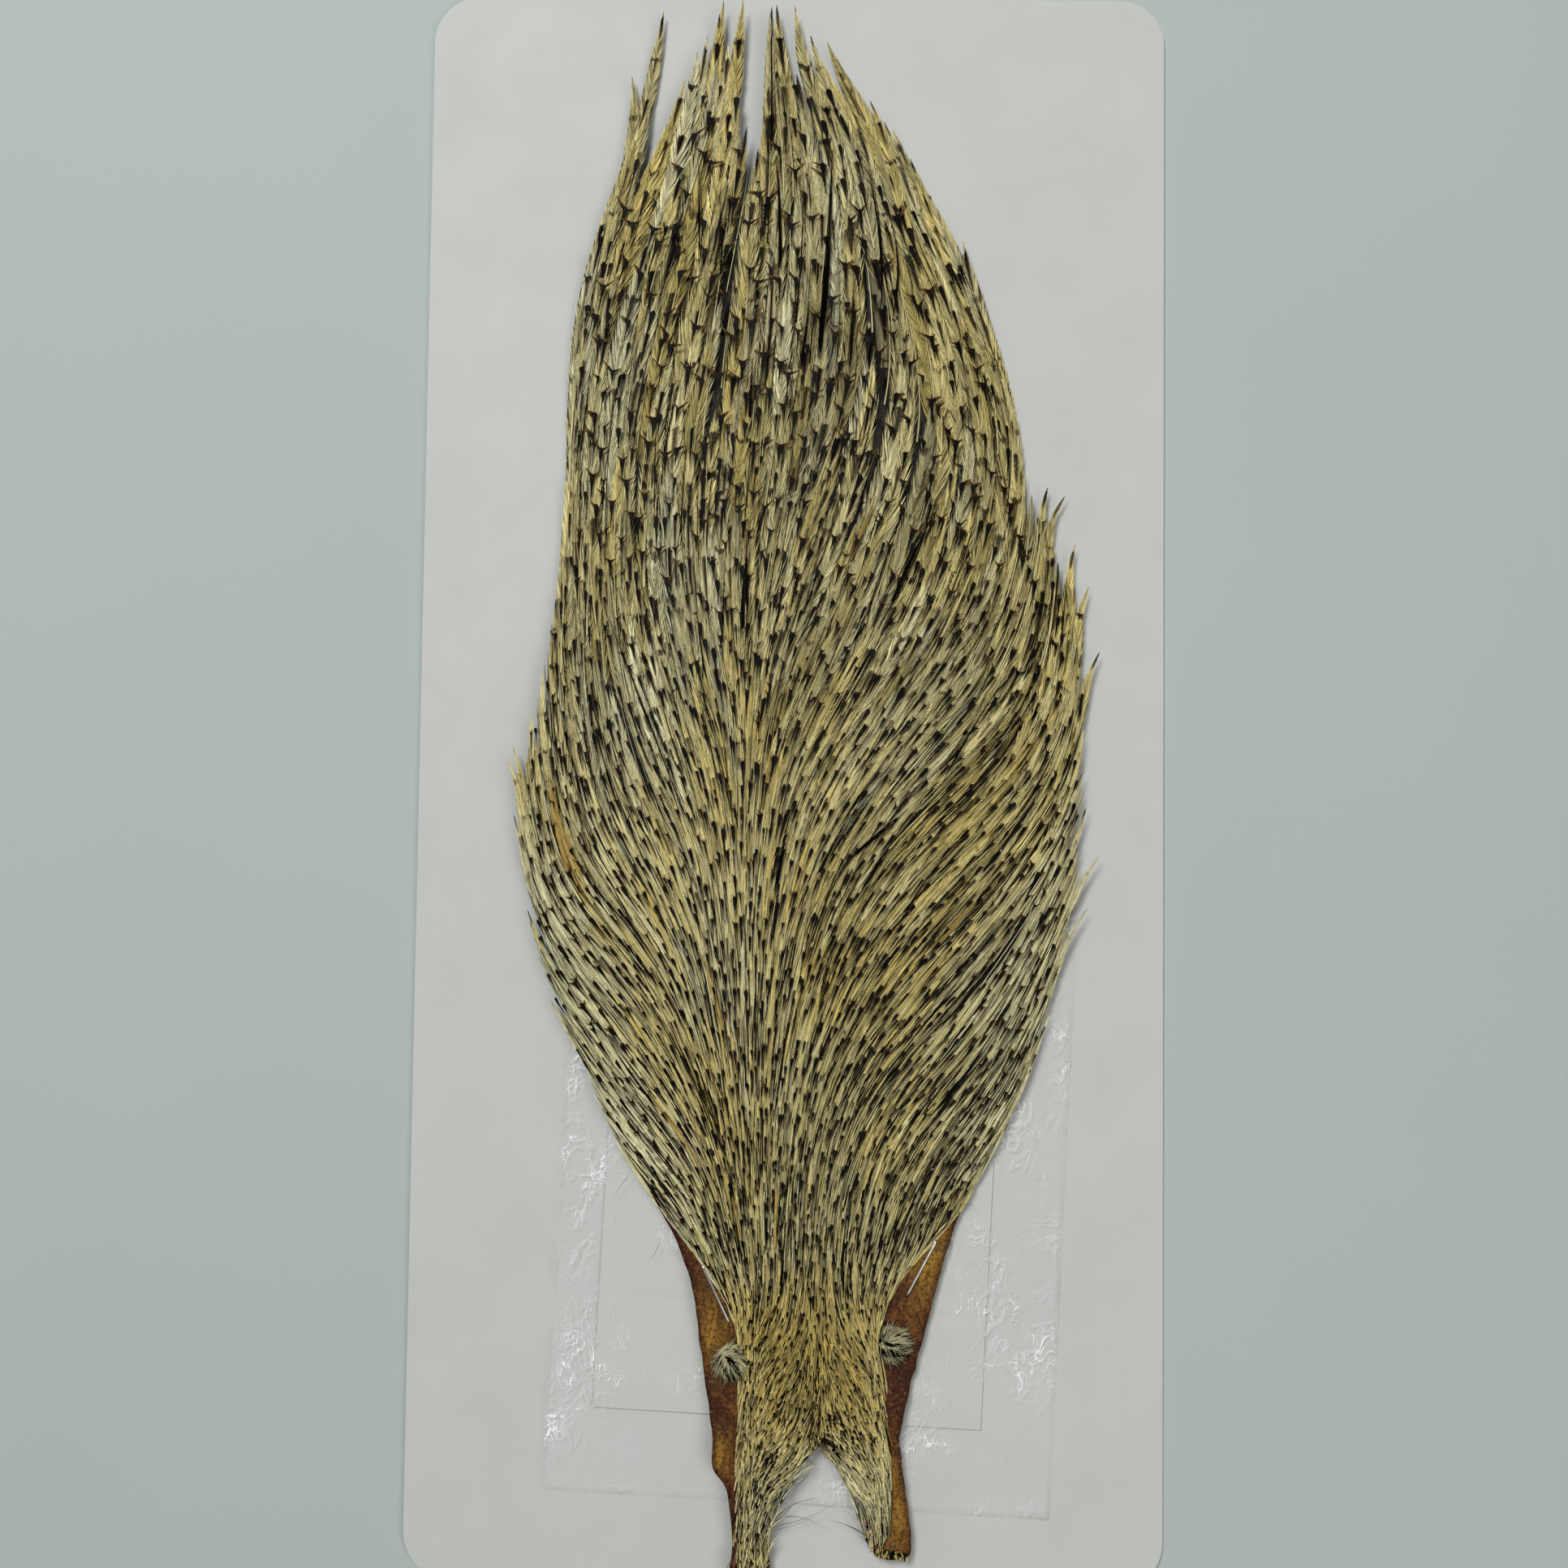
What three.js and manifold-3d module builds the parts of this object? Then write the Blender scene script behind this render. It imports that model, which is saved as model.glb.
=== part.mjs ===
// Rooster cape on its backing card: the dried hide with its neck hackles, stapled through a flat clear
// packet that holds a folded paper insert. Millimetres, X across the card, +Y towards the feather tips,
// +Z up off the card. The origin is the centre of the card's underside.
import * as THREE from 'three';
import { mergeVertices } from 'three/addons/utils/BufferGeometryUtils.js';
import Module from 'manifold-3d';

const wasm = await Module();
wasm.setup();

// Driving dimensions
const CARD = { width: 152.4, length: 325, thickness: 1.2, corner: 9.5 };
const PACKET = { width: 101.6, length: 127, film: 0.2, pocket: 0.7, seal: 3, turn: -2.5, x: 5.2, y: -82.5 };
const INSERT = { width: 78, length: 100, thickness: 0.4, x: -2.5, y: 3 };
const HIDE_THICKNESS = 1;
const REST_GAP = 0.2;
const STAPLE = { crown: 12.7, wire: 0.5, clinch: 4.6, clearance: 0.25, bend: 0.7, recess: 0.05 };
const STAPLES = [
  { name: 'staple_left', x: -13.75, y: -104.25, turn: 116 },
  { name: 'staple_right', x: 27.4, y: -98.5, turn: 62 },
];
const EAR_TUFTS = [
  { x: -10.2, y: -118, radius: 3.9, height: 1.8 },
  { x: 21.7, y: -114, radius: 3.8, height: 1.8 },
];

// Levels of the stack, from the card up
const PACKET_BASE = CARD.thickness + REST_GAP;
const PACKET_DEPTH = PACKET.pocket + 2 * PACKET.film;
const HIDE_BASE = PACKET_BASE + PACKET_DEPTH + 0.3;
const HIDE_TOP = HIDE_BASE + HIDE_THICKNESS;
const TIP_BASE = CARD.thickness + 0.35;

// The hide's outline, counterclockwise from the top left: left edge, left leg, fork, right leg, right edge
const HIDE_OUTLINE = [
  [-34, -24], [-37, -50], [-31, -74], [-26.5, -85], [-21, -95.5], [-18, -105], [-16.8, -114], [-15.2, -124],
  [-14.2, -133], [-14.6, -138.6], [-11, -143.4], [-9.8, -152], [-9.7, -161.2], [-2.8, -161.4], [-2.4, -153],
  [1.2, -143.4], [4, -138.2], [7, -133.6], [10.4, -135.4], [13, -139.2], [15.4, -145], [17.8, -152.2],
  [19.4, -155.6], [25.2, -155.4], [25.6, -150], [23.8, -137], [23.5, -131], [25.6, -120.8], [29, -108],
  [32, -96.5], [34, -90.4], [38, -76], [43, -50], [40, -24],
];

// Stations of the plumage from the head end to the tips: y, left edge, right edge and crown height
const PLUMAGE = [
  [-133, -7, 19.5, 5.6],
  [-118, -7.4, 19.5, 6.4],
  [-104, -11, 22, 7],
  [-90, -21, 29.5, 8],
  [-70, -35, 42, 9.4],
  [-45, -46.5, 51.5, 10.7],
  [-15, -53, 57, 11.4],
  [15, -50.5, 57, 11],
  [45, -46, 52, 9.7],
  [75, -44.5, 42.5, 8.2],
  [105, -42, 32, 6.6],
  [130, -37, 20, 5],
  [149, -27, 5, 4],
];
const RIM_DEPTH = 1.2;
const CROWN_FLATNESS = 2.2;
const ACROSS = 8;
const ALONG = 20;

// Tips of the locks that make the ragged rim, clockwise from the lower left, some with a length of their own
const RIM_TIPS = [
  [-27, -84, 20], [-38, -68, 30], [-47, -50], [-52.4, -33], [-55, -18], [-57.4, -4], [-56.8, 6], [-52, 24],
  [-48.6, 42], [-46.4, 60], [-45.8, 78], [-44.6, 96], [-42, 112], [-39.6, 128], [-35.2, 145],
  [-28.2, 158.6], [-16.2, 160.6], [-12, 160.4], [-5.2, 160], [0, 159.4], [6.4, 152], [13, 143.4],
  [21, 133.6], [28.5, 121], [34.8, 110.4], [40, 92], [45, 76], [52.6, 60], [58.8, 57.8], [61, 40],
  [62.6, 25.6], [61.8, 6], [62.9, -15.2], [58.6, -28], [52.5, -47], [43, -71, 30], [35, -86, 20],
];
const RIM_LOCK = { length: 36, halfWidth: 4.4, rootTaper: 0.7 };

// Rows of inner locks: height of the tips, and how many
const INNER_ROWS = [
  [-106, 2], [-84, 3], [-60, 4], [-36, 4], [-12, 5], [12, 5], [36, 5], [60, 5], [84, 4], [108, 3], [134, 2],
];
const INNER_LOCK = { length: 40, halfWidth: 6.6, rootTaper: 0 };
const INNER_SPREAD = 0.84;
const TIP_JOG = 5;
const LOCK = {
  ridge: 1.1,
  keel: 1.2,
  tipLift: 0.6,
  rootSink: 1,
  leastBed: 1.55,
  tipRadius: 0.16,
  sides: 4,
  steps: 5,
};

// Lobes of short feathers on the two legs: centre line, half width and crown height
const LEG_LOBES = [
  [[3, -124, 9.5, 6.3], [0.5, -136, 7, 5.9], [-3.6, -147, 4.4, 5.3], [-5.8, -158, 2.6, 4.6]],
  [[12, -124, 8.5, 6.3], [15.4, -135, 6, 5.9], [19, -145, 3.8, 5.2], [21.2, -152, 1.8, 4.6]],
];

// Turns of the feathers away from +Y, in degrees: each patch has a centre, a spread and its turn
const FLOW_PATCHES = [
  { x: -34, y: -62, dx: 22, dy: 46, turn: -36 },
  { x: 34, y: -12, dx: 25, dy: 48, turn: 46 },
  { x: 30, y: -78, dx: 18, dy: 30, turn: 20 },
  { x: -26, y: 112, dx: 24, dy: 42, turn: 15 },
  { x: 28, y: 122, dx: 22, dy: 44, turn: -24 },
];

function solid(geometry) {
  geometry.deleteAttribute('normal');
  geometry.deleteAttribute('uv');
  const merged = mergeVertices(geometry, 1e-5);
  return new wasm.Manifold(new wasm.Mesh({
    numProp: 3,
    vertProperties: new Float32Array(merged.attributes.position.array),
    triVerts: new Uint32Array(merged.index.array),
  }));
}

function geometryOf(manifold) {
  const { vertProperties, triVerts } = manifold.getMesh();
  const geometry = new THREE.BufferGeometry();
  geometry.setAttribute('position', new THREE.BufferAttribute(vertProperties, 3));
  geometry.setIndex(new THREE.BufferAttribute(triVerts, 1));
  geometry.computeVertexNormals();
  return geometry;
}

// The outline raised from z = base to z = base + depth
function plate(outline, base, depth) {
  const shape = new THREE.Shape(outline.map(([x, y]) => new THREE.Vector2(x, y)));
  const geometry = new THREE.ExtrudeGeometry(shape, { depth, bevelEnabled: false });
  return geometry.translate(0, 0, base);
}

function box(width, length, height, x, y, base) {
  return new THREE.BoxGeometry(width, length, height).translate(x, y, base + height / 2);
}

// Card

function cardShape() {
  const w = CARD.width / 2;
  const l = CARD.length / 2;
  const r = CARD.corner;
  const shape = new THREE.Shape();
  shape.moveTo(-w + r, -l);
  shape.absarc(w - r, -l + r, r, -Math.PI / 2, 0);
  shape.absarc(w - r, l - r, r, 0, Math.PI / 2);
  shape.absarc(-w + r, l - r, r, Math.PI / 2, Math.PI);
  shape.absarc(-w + r, -l + r, r, Math.PI, 1.5 * Math.PI);
  return shape;
}

function card() {
  const options = { depth: CARD.thickness, bevelEnabled: false, curveSegments: 6 };
  return solid(new THREE.ExtrudeGeometry(cardShape(), options));
}

// Packet, sealed on three sides and open under the plumage, and its insert, both turned a little

function turnedWithPacket(geometry) {
  geometry.rotateZ(THREE.MathUtils.degToRad(PACKET.turn));
  return solid(geometry.translate(PACKET.x, PACKET.y, 0));
}

function packet() {
  const outer = box(PACKET.width, PACKET.length, PACKET_DEPTH, 0, 0, PACKET_BASE);
  const inside = PACKET.width - 2 * PACKET.seal;
  const pocket = box(inside, PACKET.length, PACKET.pocket, 0, PACKET.seal, PACKET_BASE + PACKET.film);
  return turnedWithPacket(outer).subtract(turnedWithPacket(pocket));
}

function insert() {
  const base = PACKET_BASE + PACKET.film + (PACKET.pocket - INSERT.thickness) / 2;
  return turnedWithPacket(box(INSERT.width, INSERT.length, INSERT.thickness, INSERT.x, INSERT.y, base));
}

// Staples: a crown on the hide, two legs down through everything and clinched tips in the card's back

// grow makes the wire thicker on every side, for the clearance that the other pieces keep to it
function stapleSolid({ x, y, turn }, grow) {
  const half = STAPLE.crown / 2 + grow;
  const top = HIDE_TOP + REST_GAP + STAPLE.wire + grow;
  const bottom = STAPLE.recess - grow;
  const thick = STAPLE.wire + 2 * grow;
  const tip = STAPLE.crown / 2 - STAPLE.clinch - grow;
  const bend = STAPLE.bend;
  const shape = new THREE.Shape();
  shape.moveTo(-half + bend, top);
  shape.lineTo(half - bend, top);
  shape.lineTo(half, top - bend);
  shape.lineTo(half, bottom);
  shape.lineTo(tip, bottom);
  shape.lineTo(tip, bottom + thick);
  shape.lineTo(half - thick, bottom + thick);
  shape.lineTo(half - thick, top - thick);
  shape.lineTo(-half + thick, top - thick);
  shape.lineTo(-half + thick, bottom + thick);
  shape.lineTo(-tip, bottom + thick);
  shape.lineTo(-tip, bottom);
  shape.lineTo(-half, bottom);
  shape.lineTo(-half, top - bend);
  const geometry = new THREE.ExtrudeGeometry(shape, { depth: thick, bevelEnabled: false });
  geometry.translate(0, 0, -thick / 2).rotateX(Math.PI / 2);
  geometry.rotateZ(THREE.MathUtils.degToRad(turn)).translate(x, y, 0);
  return solid(geometry);
}

// Cape: the hide with its plumage

const stationY = PLUMAGE.map((row) => row[0]);
const stationValues = PLUMAGE.flatMap((row) => row.slice(1));
const stations = new THREE.CubicInterpolant(stationY, stationValues, 3);

function plumageAt(y) {
  const clamped = THREE.MathUtils.clamp(y, stationY[0], stationY[stationY.length - 1]);
  const [left, right, crown] = stations.evaluate(clamped);
  return { middle: (left + right) / 2, half: (right - left) / 2, crown };
}

// The underside lies on the hide at the head end and comes down to the card under the long feathers
function underside(y) {
  const down = THREE.MathUtils.smoothstep(y, 2, 48);
  return THREE.MathUtils.lerp(HIDE_BASE, TIP_BASE, down);
}

function topHeight(x, y) {
  const { middle, half, crown } = plumageAt(y);
  const side = Math.min(Math.abs(x - middle) / half, 1);
  const rim = underside(y) + RIM_DEPTH;
  return rim + (crown - rim) * (1 - side ** CROWN_FLATNESS) ** 0.8;
}

function flowAngle(x, y) {
  let degrees = 0;
  for (const patch of FLOW_PATCHES) {
    const across = (x - patch.x) / patch.dx;
    const along = (y - patch.y) / patch.dy;
    degrees += patch.turn * Math.exp(-0.5 * (across ** 2 + along ** 2));
  }
  return THREE.MathUtils.degToRad(degrees);
}

function plumageBody() {
  const geometry = new THREE.BoxGeometry(2, 1, 1, ACROSS, ALONG, 1);
  const place = geometry.attributes.position;
  for (let i = 0; i < place.count; i += 1) {
    const share = place.getY(i) + 0.5;
    const y = THREE.MathUtils.lerp(stationY[0], stationY[stationY.length - 1], share);
    const { middle, half } = plumageAt(y);
    const x = middle + half * Math.sin(place.getX(i) * Math.PI / 2);
    const z = place.getZ(i) > 0 ? topHeight(x, y) : underside(y);
    place.setXYZ(i, x, y, z);
  }
  return solid(geometry);
}

// A lock's centre line from its tip back to its root, against the lie of the feathers
function lockPath([tipX, tipY], length) {
  const steps = 24;
  const stride = length / steps;
  const points = [new THREE.Vector3(tipX, tipY, 0)];
  for (let i = 0; i < steps; i += 1) {
    const last = points[i];
    const angle = flowAngle(last.x, last.y);
    points.push(new THREE.Vector3(last.x - Math.sin(angle) * stride, last.y - Math.cos(angle) * stride, 0));
  }
  return new THREE.CatmullRomCurve3(points);
}

// A pointed blade with a ridge along its back. It is bent along the path, its tip stands a little off the
// plumage and its root sinks into it.
function lock(tip, { length, halfWidth, rootTaper }) {
  const path = lockPath(tip, length);
  const geometry = new THREE.CylinderGeometry(1, 1, 1, LOCK.sides, LOCK.steps);
  const place = geometry.attributes.position;
  for (let i = 0; i < place.count; i += 1) {
    const share = place.getY(i) + 0.5;
    const centre = path.getPointAt(share);
    const along = path.getTangentAt(share);
    const blade = (1 - (1 - share) ** 2.2) * (1 - rootTaper * share ** 2.5);
    const swell = Math.max(blade, LOCK.tipRadius / halfWidth);
    const sideways = place.getX(i) * halfWidth * swell;
    const x = centre.x + along.y * sideways;
    const y = centre.y - along.x * sideways;
    const bed = Math.max(topHeight(centre.x, centre.y), underside(centre.y) + LOCK.leastBed);
    const lift = THREE.MathUtils.lerp(LOCK.tipLift, -LOCK.rootSink, share);
    const thick = (place.getZ(i) > 0 ? LOCK.ridge : LOCK.keel) * Math.max(swell, LOCK.tipRadius);
    place.setXYZ(i, x, y, bed + lift + place.getZ(i) * thick);
  }
  return solid(geometry);
}

// A rounded lobe along a centre line of stations, each with its half width and crown height
function lobe(rows) {
  const centre = new THREE.CatmullRomCurve3(rows.map(([x, y]) => new THREE.Vector3(x, y, 0)));
  const sizes = new THREE.CatmullRomCurve3(rows.map((row) => new THREE.Vector3(row[2], row[3], 0)));
  const geometry = new THREE.CylinderGeometry(1, 1, 1, 8, 6);
  const place = geometry.attributes.position;
  for (let i = 0; i < place.count; i += 1) {
    const share = 0.5 - place.getY(i);
    const middle = centre.getPoint(share);
    const along = centre.getTangent(share).negate();
    const [halfWidth, crown] = sizes.getPoint(share).toArray();
    const sideways = place.getX(i) * halfWidth;
    const base = HIDE_BASE + 0.3;
    const z = base + Math.max(place.getZ(i), 0) * (crown - base);
    place.setXYZ(i, middle.x + along.y * sideways, middle.y - along.x * sideways, z);
  }
  return solid(geometry);
}

function earTuft({ x, y, radius, height }) {
  const geometry = new THREE.SphereGeometry(1, 10, 6).scale(radius, radius, height);
  return solid(geometry.translate(x, y, HIDE_BASE + height + 0.1));
}

function innerTips() {
  const tips = [];
  INNER_ROWS.forEach(([y, count], row) => {
    for (let i = 0; i < count; i += 1) {
      const tipY = y + TIP_JOG * Math.sin(7.3 * i + 2.1 * row);
      const { middle, half } = plumageAt(tipY);
      const side = (2 * (i + (row % 2 ? 0.7 : 0.3))) / count - 1;
      tips.push([middle + half * INNER_SPREAD * side, tipY]);
    }
  });
  return tips;
}

function cape() {
  const hide = solid(plate(HIDE_OUTLINE, HIDE_BASE, HIDE_THICKNESS));
  const rimLocks = RIM_TIPS.map((tip) => lock(tip, { ...RIM_LOCK, length: tip[2] ?? RIM_LOCK.length }));
  const innerLocks = innerTips().map((tip) => {
    const room = tip[1] - stationY[0] - 2;
    return lock(tip, { ...INNER_LOCK, length: Math.min(INNER_LOCK.length, room) });
  });
  const lobes = LEG_LOBES.map(lobe);
  const tufts = EAR_TUFTS.map(earTuft);
  const parts = [plumageBody(), ...lobes, ...tufts, ...rimLocks, ...innerLocks];
  return parts.reduce((whole, next) => whole.add(next), hide);
}

// Assembly

const group = new THREE.Group();

function addPiece(name, manifold, color, roughness, metalness = 0) {
  const material = new THREE.MeshStandardMaterial({ color, roughness, metalness });
  const mesh = new THREE.Mesh(geometryOf(manifold), material);
  mesh.name = name;
  group.add(mesh);
}

// Every piece that a staple goes through keeps clear of its wire
function pierced(manifold) {
  return STAPLES.reduce(
    (rest, staple) => rest.subtract(stapleSolid(staple, STAPLE.clearance)),
    manifold,
  );
}

addPiece('card', pierced(card()), 0xbcbeb9, 0.75);
addPiece('packet', pierced(packet()), 0xdfe4e6, 0.15);
addPiece('insert', pierced(insert()), 0xe4e8e6, 0.7);
addPiece('cape', pierced(cape()), 0xa8995f, 0.6);
for (const staple of STAPLES) {
  addPiece(staple.name, stapleSolid(staple, 0), 0xc8c8c8, 0.3, 1);
}

export default group;
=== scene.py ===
# A rooster cape on its backing card, with every feather of the plumage laid as a vane of single barbs.
# Lengths are in millimetres up to the point where a mesh is made. X runs across the card, +Y towards the
# feather tips and +Z up off the card.
import math

import bpy
import numpy as np
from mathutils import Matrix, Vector
from mathutils.geometry import delaunay_2d_cdt


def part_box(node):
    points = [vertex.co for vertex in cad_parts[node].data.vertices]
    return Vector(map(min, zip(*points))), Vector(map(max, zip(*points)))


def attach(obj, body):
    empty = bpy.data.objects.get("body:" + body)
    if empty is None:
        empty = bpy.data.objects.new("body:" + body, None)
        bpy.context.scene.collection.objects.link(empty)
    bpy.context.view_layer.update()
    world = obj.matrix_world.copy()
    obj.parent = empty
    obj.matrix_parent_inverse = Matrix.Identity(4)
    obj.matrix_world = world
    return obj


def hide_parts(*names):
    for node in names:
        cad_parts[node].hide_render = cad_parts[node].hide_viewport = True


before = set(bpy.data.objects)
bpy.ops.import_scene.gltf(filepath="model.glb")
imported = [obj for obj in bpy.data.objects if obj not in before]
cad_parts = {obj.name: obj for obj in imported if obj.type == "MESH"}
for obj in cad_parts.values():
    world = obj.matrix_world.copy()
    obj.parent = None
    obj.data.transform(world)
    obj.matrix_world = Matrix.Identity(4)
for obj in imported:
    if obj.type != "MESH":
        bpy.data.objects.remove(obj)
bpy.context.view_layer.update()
MM = 0.001
SEED = 7

# The card and what lies on it: sizes, places and turns in degrees. The levels come from the frame.
CARD_LOW, CARD_HIGH = (np.array(corner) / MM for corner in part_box("card"))
CARD_CORNER = 9.5
CARD_EDGE_ROUND = 0.22
PACKET = {"width": 101.6, "length": 127.0, "x": 5.2, "y": -82.5, "turn": -2.5, "seal": 3.0}
PACKET_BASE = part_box("packet")[0].z / MM
PACKET_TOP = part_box("packet")[1].z / MM
INSERT = {"width": 78.0, "length": 100.0, "x": -2.5, "y": 3.0}
INSERT_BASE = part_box("insert")[0].z / MM
INSERT_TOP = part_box("insert")[1].z / MM
STAPLES = {"staple_left": (-13.75, -104.25, 116), "staple_right": (27.4, -98.5, 62)}
STAPLE_CROWN = 12.7
STAPLE_WIRE = 0.5

# The hide: levels, outline counterclockwise from the top left, and the edges that press the packet flat
HIDE_BASE = 2.8
HIDE_TOP = 3.8
HIDE_OUTLINE = [
    (-34, -24), (-37, -50), (-31, -74), (-26.5, -85), (-21, -95.5), (-18, -105), (-16.8, -114),
    (-15.2, -124), (-14.0, -133), (-13.9, -138.4), (-11, -143.2), (-9.8, -152), (-9.7, -161.2),
    (-2.8, -161.4), (-2.4, -153), (-0.2, -143.6), (2.2, -138.4), (6.8, -133.2), (10.4, -135.4), (13, -139.2),
    (15.6, -145), (17.8, -152.2), (19.4, -155.4), (25.2, -155.2), (25.6, -150), (23.8, -137),
    (23.5, -131), (25.6, -120.8), (29, -108), (32, -96.5), (34, -90.4), (38, -76), (43, -50), (40, -24),
]
HIDE_LEFT = np.array([
    (-161, -10), (-143, -11), (-124, -15), (-105, -18), (-85, -26.5), (-50, -37), (-24, -34),
])
HIDE_RIGHT = np.array([
    (-161, 25), (-150, 25.5), (-131, 23.5), (-108, 29), (-85, 36), (-50, 43), (-24, 40),
])
EAR_TUFTS = [(-10.4, -117.8, 4.1, -58), (21.7, -113.8, 4.0, -14)]
EAR_HEIGHT = 3.7

# Stations of the plumage from the head end to the tips: y, left edge, right edge, crown height
PLUMAGE = np.array([
    (-133, -7, 19.5, 5.6), (-118, -7.4, 19.5, 6.4), (-104, -11, 22, 7), (-90, -21, 29.5, 8),
    (-70, -35, 42, 9.4), (-45, -46.5, 51.5, 10.7), (-15, -53, 57, 11.4), (15, -50.5, 57, 11),
    (45, -46, 52, 9.7), (75, -44.5, 42.5, 8.2), (105, -42, 32, 6.6), (130, -37, 20, 5), (149, -27, 5, 4),
])
RIM_DEPTH = 1.2
TIP_BASE = 1.55
LOWEST_ROOT = -160.6
LOWEST_TIP = -158.6

# The legs: the right one lies past LEGS_PART in x and is shorter, with its quills showing at the cut end
LEGS_PART = 7.0
RIGHT_LEG_ROOT = -154.2
RIGHT_LEG_END = -152.6
RIGHT_LEG_TIPS = -151
LEG_GAP = 0.62
LEG_STEP = 1.3
LEG_CUT = {"x": 17.6, "y": -153.2, "width": 7.4, "slant": 1.4}

# Left of and above this place the coat is only a few single feathers
SINGLE_TIPS_X = -23
SINGLE_TIPS_Y = 130

# How steeply the closed coat rises to each long tip, how strongly feathers are pulled in at the coat's outer
# line, and how far a vane's edges hang below its shaft
TIP_STEEPNESS = 6.0
PULL = 0.4
VANE_DROP = 0.24

# Rows of tips and of open marks, from the lowest to the highest
NECK_ROWS = (-131.0, 156)
RIM_ROWS = (-96.0, 122)
LEG_ROWS = (-157.0, -123)
MARK_ROWS = (-158.0, 152)

# How many hairs an ear tuft has, and how many quills show at the cut end
TUFT_HAIRS = 640
QUILLS = 80

# Centre lines of the feathers on the two legs: x, y, half width, crown height
LEG_LOBES = [
    np.array([(3, -124, 9.5, 6.3), (0.5, -136, 7, 5.9), (-3.6, -147, 4.4, 5.3), (-5.8, -158, 2.6, 4.6)]),
    np.array([(12, -124, 8.5, 6.3), (15.4, -135, 6, 5.9), (19, -145, 3.8, 5.2), (21.2, -152, 1.8, 4.6)]),
]

# Outer line of the feathers, a little wider than the skin: y, left, right
SILHOUETTE = np.array([
    (-161, -9.2, 19.2), (-153, -9.2, 19.4), (-150, -9.2, 20.4), (-144, -9.2, 20.8), (-136, -8.8, 21.2),
    (-125, -8.4, 20.2), (-112, -8.6, 18.0), (-106, -10.8, 19.8), (-100, -14.2, 22.6), (-94, -18.6, 27.2),
    (-85, -26.9, 36.2),
    (-72, -35.7, 43.3), (-59, -41.2, 48.7), (-46, -47.8, 53.2), (-33, -52, 55.9), (-20, -53.8, 58.6),
    (-5, -54.8, 59.8), (10, -53, 60.2), (25, -50.2, 59.2), (40, -48, 56.5), (55, -45.8, 49.8),
    (70, -45.4, 45.6), (85, -45.1, 41.8), (100, -44, 36.6), (113, -41, 31), (120, -38.4, 27.4),
    (127, -34.6, 23.5), (140, -32.6, 14), (150, -30.4, 7.5), (161, -27.8, 3),
])

# Gaps in the coat, between the legs and in the tips: y, left side, right side
FORK = np.array([
    (-161, -4.4, 19.6), (-157, -3.9, 19.4), (-154.3, -2.9, 18.5), (-149.2, -2.6, 16.4), (-144.2, 0, 14.4),
    (-139.1, 2.3, 12.3), (-136.5, 3.1, 10.8), (-135, 3.8, 9.7), (-134.3, 5, 8.6), (-134, 6.4, 7.2),
])
TIP_GAP = np.array([
    (129.5, -7.8, -7.8), (134, -9.4, -7.4), (139, -10.8, -7.2), (146, -12.0, -6.9), (161, -11.6, -6.2),
])

# How the feathers lie: patches of x, y, spread across and along, and turn from +Y to the right in degrees
LIE = [
    (-38, -50, 16, 30, -32), (-38, -30, 11, 14, -12), (-25, -84, 9, 18, -26), (-24, 10, 12, 22, -18),
    (34, -6, 21, 38, 44), (24, -60, 15, 20, 19), (40, -80, 12, 18, 16), (60, 36, 8, 22, -12),
    (-30, 116, 14, 34, 17),
    (28, 110, 10, 20, -24), (12, 146, 10, 14, -28), (14, 66, 10, 18, 12), (42, 84, 8, 14, -14),
    (1, -139, 4.5, 9, 40), (13, -138, 4.5, 8, -42), (4, 20, 8, 26, 12), (-1, -115, 4.5, 8, 28),
    (13.5, -114, 4.5, 8, -26), (-14, -104, 5, 7, -16), (24, -102, 5, 7, 18),
]

# Feathers by the height of their tips: y, length, half width, barb angle, gap between neighbours across,
# step from a tip to the next one down the line, and period of the bars
COAT = np.array([
    (-160, 11, 0.30, 7, 0.62, 2.6, 4.6),
    (-125, 14, 0.34, 7, 0.72, 3.2, 4.8),
    (-105, 19, 0.40, 7, 0.84, 4.2, 5.4),
    (-80, 27, 0.54, 7, 1.00, 6.5, 6.2),
    (-40, 38, 0.80, 9, 1.30, 9.5, 7.0),
    (0, 46, 1.15, 12, 1.80, 12.0, 7.6),
    (40, 56, 1.90, 16, 3.00, 13.0, 8.6),
    (80, 64, 2.50, 18, 4.20, 15.0, 9.6),
    (120, 66, 2.75, 19, 4.60, 16.0, 10.0),
    (160, 66, 2.75, 19, 4.60, 16.0, 10.0),
])
LENGTH, HALF_WIDTH, BARB_ANGLE, GAP, STEP, BAR_PERIOD = range(1, 7)

# Dark marks that lie open on the coat: y, gap across, gap along, length, half width and reach of the arms
MARKS = np.array([
    (-160, 2.6, 4.8, 1.9, 0.15, 0.0),
    (-138, 2.0, 4.0, 1.9, 0.16, 0.0),
    (-125, 1.4, 3.0, 1.9, 0.18, 0.0),
    (-108, 1.3, 3.2, 2.3, 0.19, 0.0),
    (-90, 1.3, 3.8, 3.4, 0.21, 0.1),
    (-60, 1.6, 4.6, 4.3, 0.25, 0.32),
    (-20, 1.9, 5.0, 4.9, 0.28, 0.5),
    (20, 2.3, 5.6, 5.2, 0.30, 0.7),
    (60, 2.9, 6.2, 5.2, 0.41, 1.4),
    (100, 3.6, 7.2, 5.6, 0.48, 2.2),
    (160, 3.8, 7.4, 5.6, 0.48, 2.2),
])
MARK_ACROSS, MARK_ALONG, MARK_LENGTH, MARK_WIDTH, MARK_REACH = range(1, 6)

# Outline of a mark: share of its length behind its head, and share of its half width
MARK_SHAPE = [(0.0, 0.2), (0.07, 1.0), (0.2, 0.9), (0.42, 0.42), (1.0, 0.04)]
MARK_LEAD = 2.0

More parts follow.
